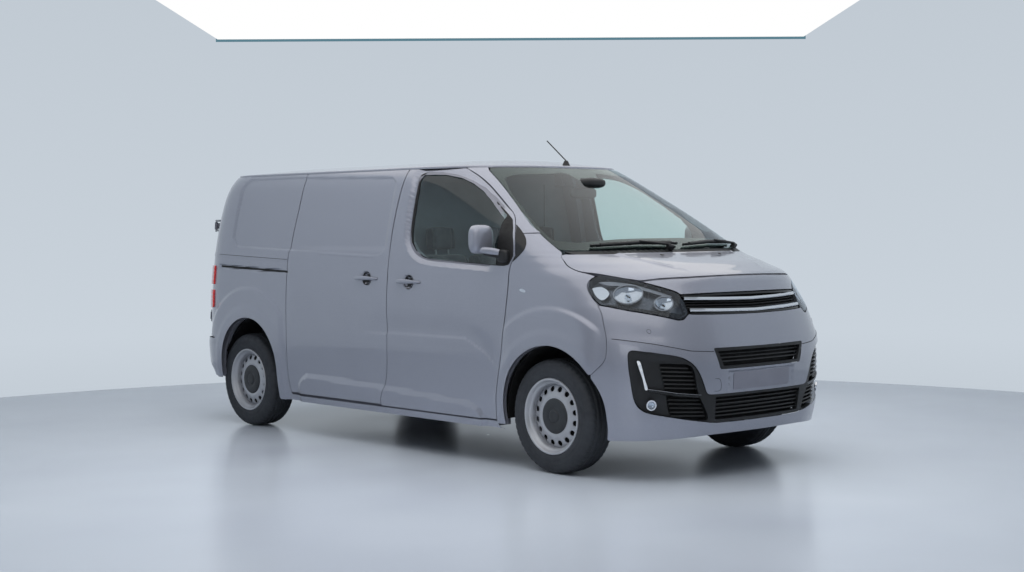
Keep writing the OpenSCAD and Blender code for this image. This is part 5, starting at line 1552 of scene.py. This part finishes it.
def tube(name, path, sizes, mat, body, flip=False, n=16, power=0.8):
    """Bar along a path in space, oval across: half height and half width at each point."""
    p = spline(path, 10.0)
    t = np.concatenate([[0], np.cumsum(np.linalg.norm(np.diff(p, axis=0), axis=1))])
    keys = np.linspace(0, t[-1], len(sizes))
    hh = np.interp(t, keys, [q[0] for q in sizes])
    ww = np.interp(t, keys, [q[1] for q in sizes])
    d = np.gradient(p, axis=0)
    d /= np.linalg.norm(d, axis=1, keepdims=True)
    side_v = np.cross(d, [0, 0, 1.0])
    side_v /= np.maximum(np.linalg.norm(side_v, axis=1, keepdims=True), 1e-6)
    up = np.cross(side_v, d)
    a = np.linspace(0, 2 * np.pi, n, endpoint=False)
    ca, sa = np.sign(np.cos(a)) * np.abs(np.cos(a))**power, np.sign(np.sin(a)) * np.abs(np.sin(a))**power
    wide = side_v[:, None] * (ww[:, None] * ca)[..., None]
    tall = up[:, None] * (hh[:, None] * sa)[..., None]
    v = p[:, None] + wide + tall
    m = len(p)
    faces = ring_faces(m, n)
    faces += [tuple(range(n))[::-1], tuple(range((m - 1) * n, m * n))]
    v = v.reshape(-1, 3)
    if flip:
        v = v * [1, -1, 1]
        faces = turned(faces)
    ob = build(name, v, faces, None, mat)
    bm = bmesh.new()
    bm.from_mesh(ob.data)
    bmesh.ops.recalc_face_normals(bm, faces=bm.faces)
    bm.to_mesh(ob.data)
    bm.free()
    keep_edges(ob, 50)
    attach(ob, body)
    return ob


def handle(name, x0, z0, body, flip):
    pts = []
    for t in np.linspace(-1, 1, 15):
        x = x0 + 125 * t
        y = float(side_w(z0)) + 1 + 20 * (1 - abs(t)**6)
        pts.append((x, y, z0 + 3 * (1 - t * t)))
    tube(name, pts, [(8, 4), (14, 8), (15, 9), (14, 9), (12, 8), (9, 6), (5, 4)], PAINT, body, flip, n=20)


def mirror_sweep(p):
    """Sets the outer end forwards."""
    return p + np.stack([10 * p[:, 1] / 88, 0 * p[:, 0], 0 * p[:, 0]], 1)


def mirror_shape(p):
    """Flat back with a rounded front, swept forwards."""
    q = p.copy()
    q[:, 0] = np.where(q[:, 0] < -18, -18 + 0.1 * (q[:, 0] + 18), q[:, 0])
    q[:, 0] += 10 * (q[:, 1] / 88)
    return q


for hand, flipped in (("left", False), ("right", True)):
    door = "front_door_" + hand
    handle("door_handle_" + hand, 287.5, 1122.0, door, flipped)
    ob = blob("mirror_head_" + hand, (1076, 1009, 1404), (54, 91, 90), PAINT, door, (0.62, 0.55),
              mirror_shape, flip=flipped)
    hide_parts("mirror_" + hand)
    blob("mirror_glass_" + hand, (1050.5, 1011, 1405), (7, 76, 74), MIRROR, door, (0.5, 0.45), flip=flipped,
         shape=mirror_sweep)
    blob("mirror_bezel_" + hand, (1056, 1011, 1403), (8, 84, 83), BLACK, door, (0.55, 0.5), flip=flipped,
         shape=mirror_sweep)
    tube("mirror_arm_" + hand, [(1092, 1066, 1342), (1120, 1032, 1338), (1160, 985, 1330), (1192, 958, 1322)],
         [(10, 12), (19, 22), (22, 24), (22, 22), (20, 18)], PAINT, door, flipped, n=24)
    blob("mirror_foot_" + hand, (1212, 940, 1300), (44, 26, 40), BLACK, door, (0.6, 0.6), flip=flipped)
    tube("mirror_stem_" + hand, [(1110, 1010, 1318), (1150, 980, 1312), (1200, 950, 1300)],
         [(12, 20), (16, 20), (20, 16)], BLACK, door, flipped, n=20)
handle("slider_handle", -166.5, 1136.0, "body_shell", True)
turns = np.linspace(0, 2 * math.pi, 40, endpoint=False)
# Painted shade: a thin black disc lines each handle cup, standing in for the shade in the recess
for label, cx, cz, bodies, left in (("door_cup", 288.0, 1121.0, FD, True),
                                 ("slider_cup", -166.5, 1136.0, "body_shell", False)):
    ring = side([(cx + 45 * math.cos(t), cz + 45 * math.sin(t)) for t in turns], smooth=False)
    panels(label, [ring], BLACK, bodies, [""], left=left, gap=0, r=0, field=side_field, offset=1.2, thick=2.0,
           step=9, edge=5)
above = [(-2029, 1281), (-1560, 1266), (-1117, 1252)]
line_loop = loop_of(side([(x, z + 1.5) for x, z in above]), side([(x, z - 1.5) for x, z in above][::-1]))
panels("rail_line", [line_loop], RUBBER, "body_shell", [""], left=False, gap=0, r=0, field=side_field,
       offset=0.6, thick=3.0, step=30, edge=7)

slot_pts = [(-1998, 1192), (-1560, 1178), (-1116, 1164)]
slot_loop = loop_of(side([(x, z + 8) for x, z in slot_pts]), side([(x, z - 8) for x, z in slot_pts][::-1]))
panels("rail_slot", [slot_loop], RUBBER, "body_shell", [""], left=False, gap=0, r=0, offset=-7.4, thick=5.0,
       step=30, edge=7)
two("side_repeater", [local_disc((1392, side_w(1094), 1094), 27, 13)], LENS, thick=2.0, step=6, edge=5,
    offset=1.5,
    field=lambda x, y, z: 3.5 * (1 - np.clip(np.hypot((x - 1392) / 27, (z - 1094) / 13), 0, 1)**2))
two("repeater_base", [local_disc((1392, side_w(1094), 1094), 25, 11.5)], WHITE, thick=2.0, step=6, edge=5,
    offset=0.6)
for label, c, r in (("wing_sensor", (2091, 918, 574), 11), ("bumper_sensor", (2254, 765, 877), 11)):
    two(label, [local_disc(c, r, r)], PAINT, thick=3.0, step=6, edge=4, offset=1.2)
    two(label + "_ring", [local_disc(c, r + 2, r + 2), local_disc(c, r, r)], RUBBER, thick=3.0, step=6,
        edge=4, offset=0.8)
fog = (2278, 772, 455)


def fog_dome(x, y, z):
    d = np.sqrt((x - fog[0])**2 + (y - fog[1])**2 + (z - fog[2])**2) / 22
    return 5 * (1 - np.clip(d, 0, 1)**2)


two("fog_lens", [local_disc(fog, 22, 22)], LENS, thick=3.0, step=7, edge=5, offset=4.0, field=fog_dome)
two("fog_bowl", [local_disc(fog, 21, 21)], CHROME, thick=2.0, step=6, edge=4, offset=0.5,
    field=dish(fog, 21, 8.0))
two("fog_ring", [local_disc(fog, 31, 31), local_disc(fog, 23, 23)], CHROME, thick=10.0, step=8, edge=5,
    offset=5.0)
drl = free([(2229, 840, 711), (2255, 816, 602), (2264, 801, 540), (2272, 792, 543), (2264, 806, 604),
            (2241, 829, 711), (2229, 840, 711)])
two("daytime_strip", [fillet(drl[:-1], 2)], DRL, thick=8.0, step=8, edge=5, offset=-4.0,
    field=lambda x, y, z: 1.5 * np.sin(z / 6.0))
cover = [(2441, 448, 589), (2455, 375, 590), (2452, 367, 526), (2439, 438, 531), (2441, 448, 589)]
cover = fillet(free(cover)[:-1], 8)
panels("tow_cover_gap", [cover, shrink(resample(cover, 5), 2.0)], RUBBER, "body_shell", [""], left=False,
       gap=0, r=0, offset=0.5, thick=2.0, step=10, edge=5)
pad = fillet(mirror_loop(nose([(0, 630), (260, 630), (260, 520), (0, 520)], smooth=False)), 6)
ob = shell("front_plate_blank", [resample(pad, 6)], PLATE, offset=-6.5, thick=4.0, step=30, edge=8)
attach(ob, "body_shell")
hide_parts("number_plates")
across("scuttle_cover", np.vstack([nose([(0, 1315.5), (400, 1315.5), (770, 1315.5)]),
                                   nose([(806, 1333), (400, 1338), (0, 1338)])]),
       BLACK, nodes=["scuttle"], gap=0.5, r=0, offset=-5.0, thick=14.0, step=22, edge=9,
       field=lambda x, y, z: 1.6 * np.sin(y / 7.0) * (np.abs(y) < 640))
for k, (y0, y1, yp) in enumerate(((-655, 35, -300), (75, 640, 420))):
    strip(f"wiper_blade_{k}", [y0, (y0 + y1) / 2, y1], [1352, 1364, 1360], BLACK, 9, 22, -6)
    strip(f"wiper_back_{k}", [y0 + 60, (y0 + y1) / 2, y1 - 60], [1353, 1365, 1361], BLACK, 22, 28, -20)
    strip(f"wiper_arm_{k}", [yp + 230, yp + 60, yp], [1341, 1358, 1363], BLACK, 15, 36, -22)
    strip(f"wiper_cap_{k}", [yp + 205, yp + 250], [1338, 1336], BLACK, 26, 32, 0)
two("washer_jet", [local_disc((1907, 269, 1290), 14, 9)], BLACK, body="bonnet", thick=3.0, step=5, edge=4,
    offset=2.0, field=lambda x, y, z: 8 + bonnet_field(x, y, z))
blob("cabin_mirror_mount", (1035, 0, 1765), (70, 105, 34), BLACK, "body_shell", (0.7, 0.7))
blob("cabin_mirror", (965, 0, 1700), (22, 115, 36), BLACK, "body_shell", (0.5, 0.5))


# ---------------------------------------------------------------- seats
def fabric_material(name, a, b):
    m = material(name, a, 0.9, 0.0, Sheen_Weight=0.3)
    vec = coords(m)
    w1 = node(m, "ShaderNodeTexWave", Scale=260.0, Distortion=0.6)
    w2 = node(m, "ShaderNodeTexWave", Scale=260.0, Distortion=0.6)
    w2.bands_direction = "Z"
    w1.bands_direction = "Y"
    mul = math_node(m.node_tree, "ADD")
    for w in (w1, w2):
        m.node_tree.links.new(vec, w.inputs["Vector"])
    m.node_tree.links.new(w1.outputs["Fac"], mul.inputs[0])
    m.node_tree.links.new(w2.outputs["Fac"], mul.inputs[1])
    link(m, ramp(m, noise(m, vec, 35.0, 5.0), [(0.3, a), (0.7, b)]), "Base Color")
    bump(m, mul.outputs[0], 0.5, 0.0006)
    return m


FABRIC = fabric_material("seat_fabric", srgb(52, 55, 60), srgb(70, 73, 79))
BOLSTER = fabric_material("seat_bolster", srgb(36, 38, 42), srgb(48, 50, 55))


def bake(ob):
    """Gives an object the mesh that its modifiers make."""
    dg = bpy.context.evaluated_depsgraph_get()
    me = bpy.data.meshes.new_from_object(ob.evaluated_get(dg))
    ob.modifiers.clear()
    ob.data = me
    return me


def cushion(name, centre, half, lean, seams, cap_mm=12.0, power=(0.32, 0.3), nodes=(), scoop=0.0):
    """Padded seat part: a rounded block, swelled by cloth under pressure, then sewn channels."""
    t = math.tan(math.radians(lean))
    front = 0 if half[0] < half[2] else 2

    def shape(p):
        q = p.copy()
        if scoop:
            q[:, front] -= scoop * (1 - (q[:, 1] / half[1])**2) * (q[:, front] > 0)
        q[:, 0] -= t * q[:, 2]
        return q
    small = tuple(h - 6 for h in half)
    ob = blob(name, centre, small, FABRIC, "body_shell", power, shape, rows=40, cols=56)
    m = ob.modifiers.new("voxels", "REMESH")
    m.mode = "VOXEL"
    m.voxel_size = 0.013
    me = bake(ob)
    start = np.array([v.co[:] for v in me.vertices])
    cl = ob.modifiers.new("cloth", "CLOTH")
    cl.settings.quality = 4
    cl.settings.use_pressure = True
    cl.settings.uniform_pressure_force = 4.0
    cl.settings.effector_weights.gravity = 0.0
    cl.settings.mass = 0.3
    cl.collision_settings.use_self_collision = False
    cl.point_cache.frame_end = 20
    for f in range(1, 21):
        bpy.context.scene.frame_set(f)
    dg = bpy.context.evaluated_depsgraph_get()
    ev = ob.evaluated_get(dg).to_mesh()
    end = np.array([v.co[:] for v in ev.vertices])
    ob.modifiers.clear()
    bpy.context.scene.frame_set(1)
    d = end - start
    ln = np.linalg.norm(d, axis=1, keepdims=True)
    d *= np.minimum(1, cap_mm / 1000 / np.maximum(ln, 1e-9))
    co = start + np.nan_to_num(d)
    reach, spare = np.array(half) * [1.6, 1, 1], [abs(t) * half[2] + 4, 4, 4]
    co = np.clip(co, (np.array(centre) - reach - spare) / 1000, (np.array(centre) + reach + spare) / 1000)
    me.vertices.foreach_set("co", co.ravel())
    me.update()
    if not len(me.materials):
        me.materials.append(FABRIC)
    sub = ob.modifiers.new("sub", "SUBSURF")
    sub.levels = sub.render_levels = 1
    me = bake(ob)
    me.materials.clear()
    me.materials.append(FABRIC)
    me.materials.append(BOLSTER)
    p, nr = vectors(me.vertices, "co"), vectors(me.vertices, "normal")
    mm = p * 1000 - np.array(centre)
    dep = np.zeros(len(p))
    for axis, at in seams:
        dep += 5.0 * np.exp(-((mm[:, axis] - at) / 6.0)**2)
    p -= nr * (dep / 1000)[:, None]
    me.vertices.foreach_set("co", p.ravel())
    edge = max([abs(at) for axis, at in seams if axis == 1] + [1e9 if not seams else 0])
    for f in me.polygons:
        f.use_smooth = True
        y = f.center[1] * 1000 - centre[1]
        if abs(y) > edge > 0:
            f.material_index = 1
    me.update()
    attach(ob, "body_shell")
    for cad_name in nodes:
        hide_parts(cad_name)
    return ob


SEAT_X = 80.0
for label, yc, hw, cad_name in (("driver", 400, 246, "driver_seat"), ("bench", -330, 428, "passenger_bench")):
    two_up = label == "bench"
    seams = [(1, -hw + 62), (1, hw - 62), (0, 110)] + ([(1, 0)] if two_up else [])
    cushion(f"{label}_base_pad", (SEAT_X + 382, yc, 728), (262, hw, 72), -2, seams, nodes=[cad_name],
            scoop=14 if not two_up else 0)
    for k, (y, h) in enumerate([(400, 236)] if label == "driver" else [(-546, 210), (-116, 210)]):
        cushion(f"{label}_back_pad_{k}", (SEAT_X + 150, y, 1052), (66, h, 258), 13,
                [(1, -h + 60), (1, h - 60), (2, -60), (2, 120)], scoop=12)
        cushion(f"{label}_head_pad_{k}", (SEAT_X + 60, y, 1404), (38, 122, 82), 6, [(1, -80), (1, 80)],
                cap_mm=6.0)
        for dy in (-55, 55):
            tube(f"{label}_head_post_{k}_{'a' if dy < 0 else 'b'}",
                 [(SEAT_X + 88, y + dy, 1270), (SEAT_X + 70, y + dy, 1340)], [(6, 6), (6, 6)], STEEL,
                 "body_shell", n=12)


# ---------------------------------------------------------------- finishes of the CAD parts that stay
FINISH = {"floor_pan": CHASSIS, "firewall": CHASSIS, "bulkhead": BULK, "wheelhouses_front": RUBBER,
          "wheelhouses_rear": CHASSIS, "dashboard": DASH, "steering_wheel": TRIM, "seat_frames": TRIM,
          "engine": IRON, "front_subframe": CHASSIS, "struts": CHASSIS, "knuckle_left": IRON,
          "knuckle_right": IRON, "rear_axle": CHASSIS, "door_hinges": STEEL, "fuel_tank": BLACK,
          "exhaust": STEEL, "antenna": BLACK}
for name, ob in frame["nodes"].items():
    if ob.hide_render:
        continue
    mat = FINISH.get(name, BLACK)
    if len(ob.data.materials):
        ob.data.materials[0] = mat
    else:
        ob.data.materials.append(mat)

# ---------------------------------------------------------------- record slots
kept = {ob.name for ob in frame["nodes"].values()}
for ob in list(COLLECTION.objects):
    if ob.type != "MESH" or ob.name in kept or not ob.data.materials:
        continue
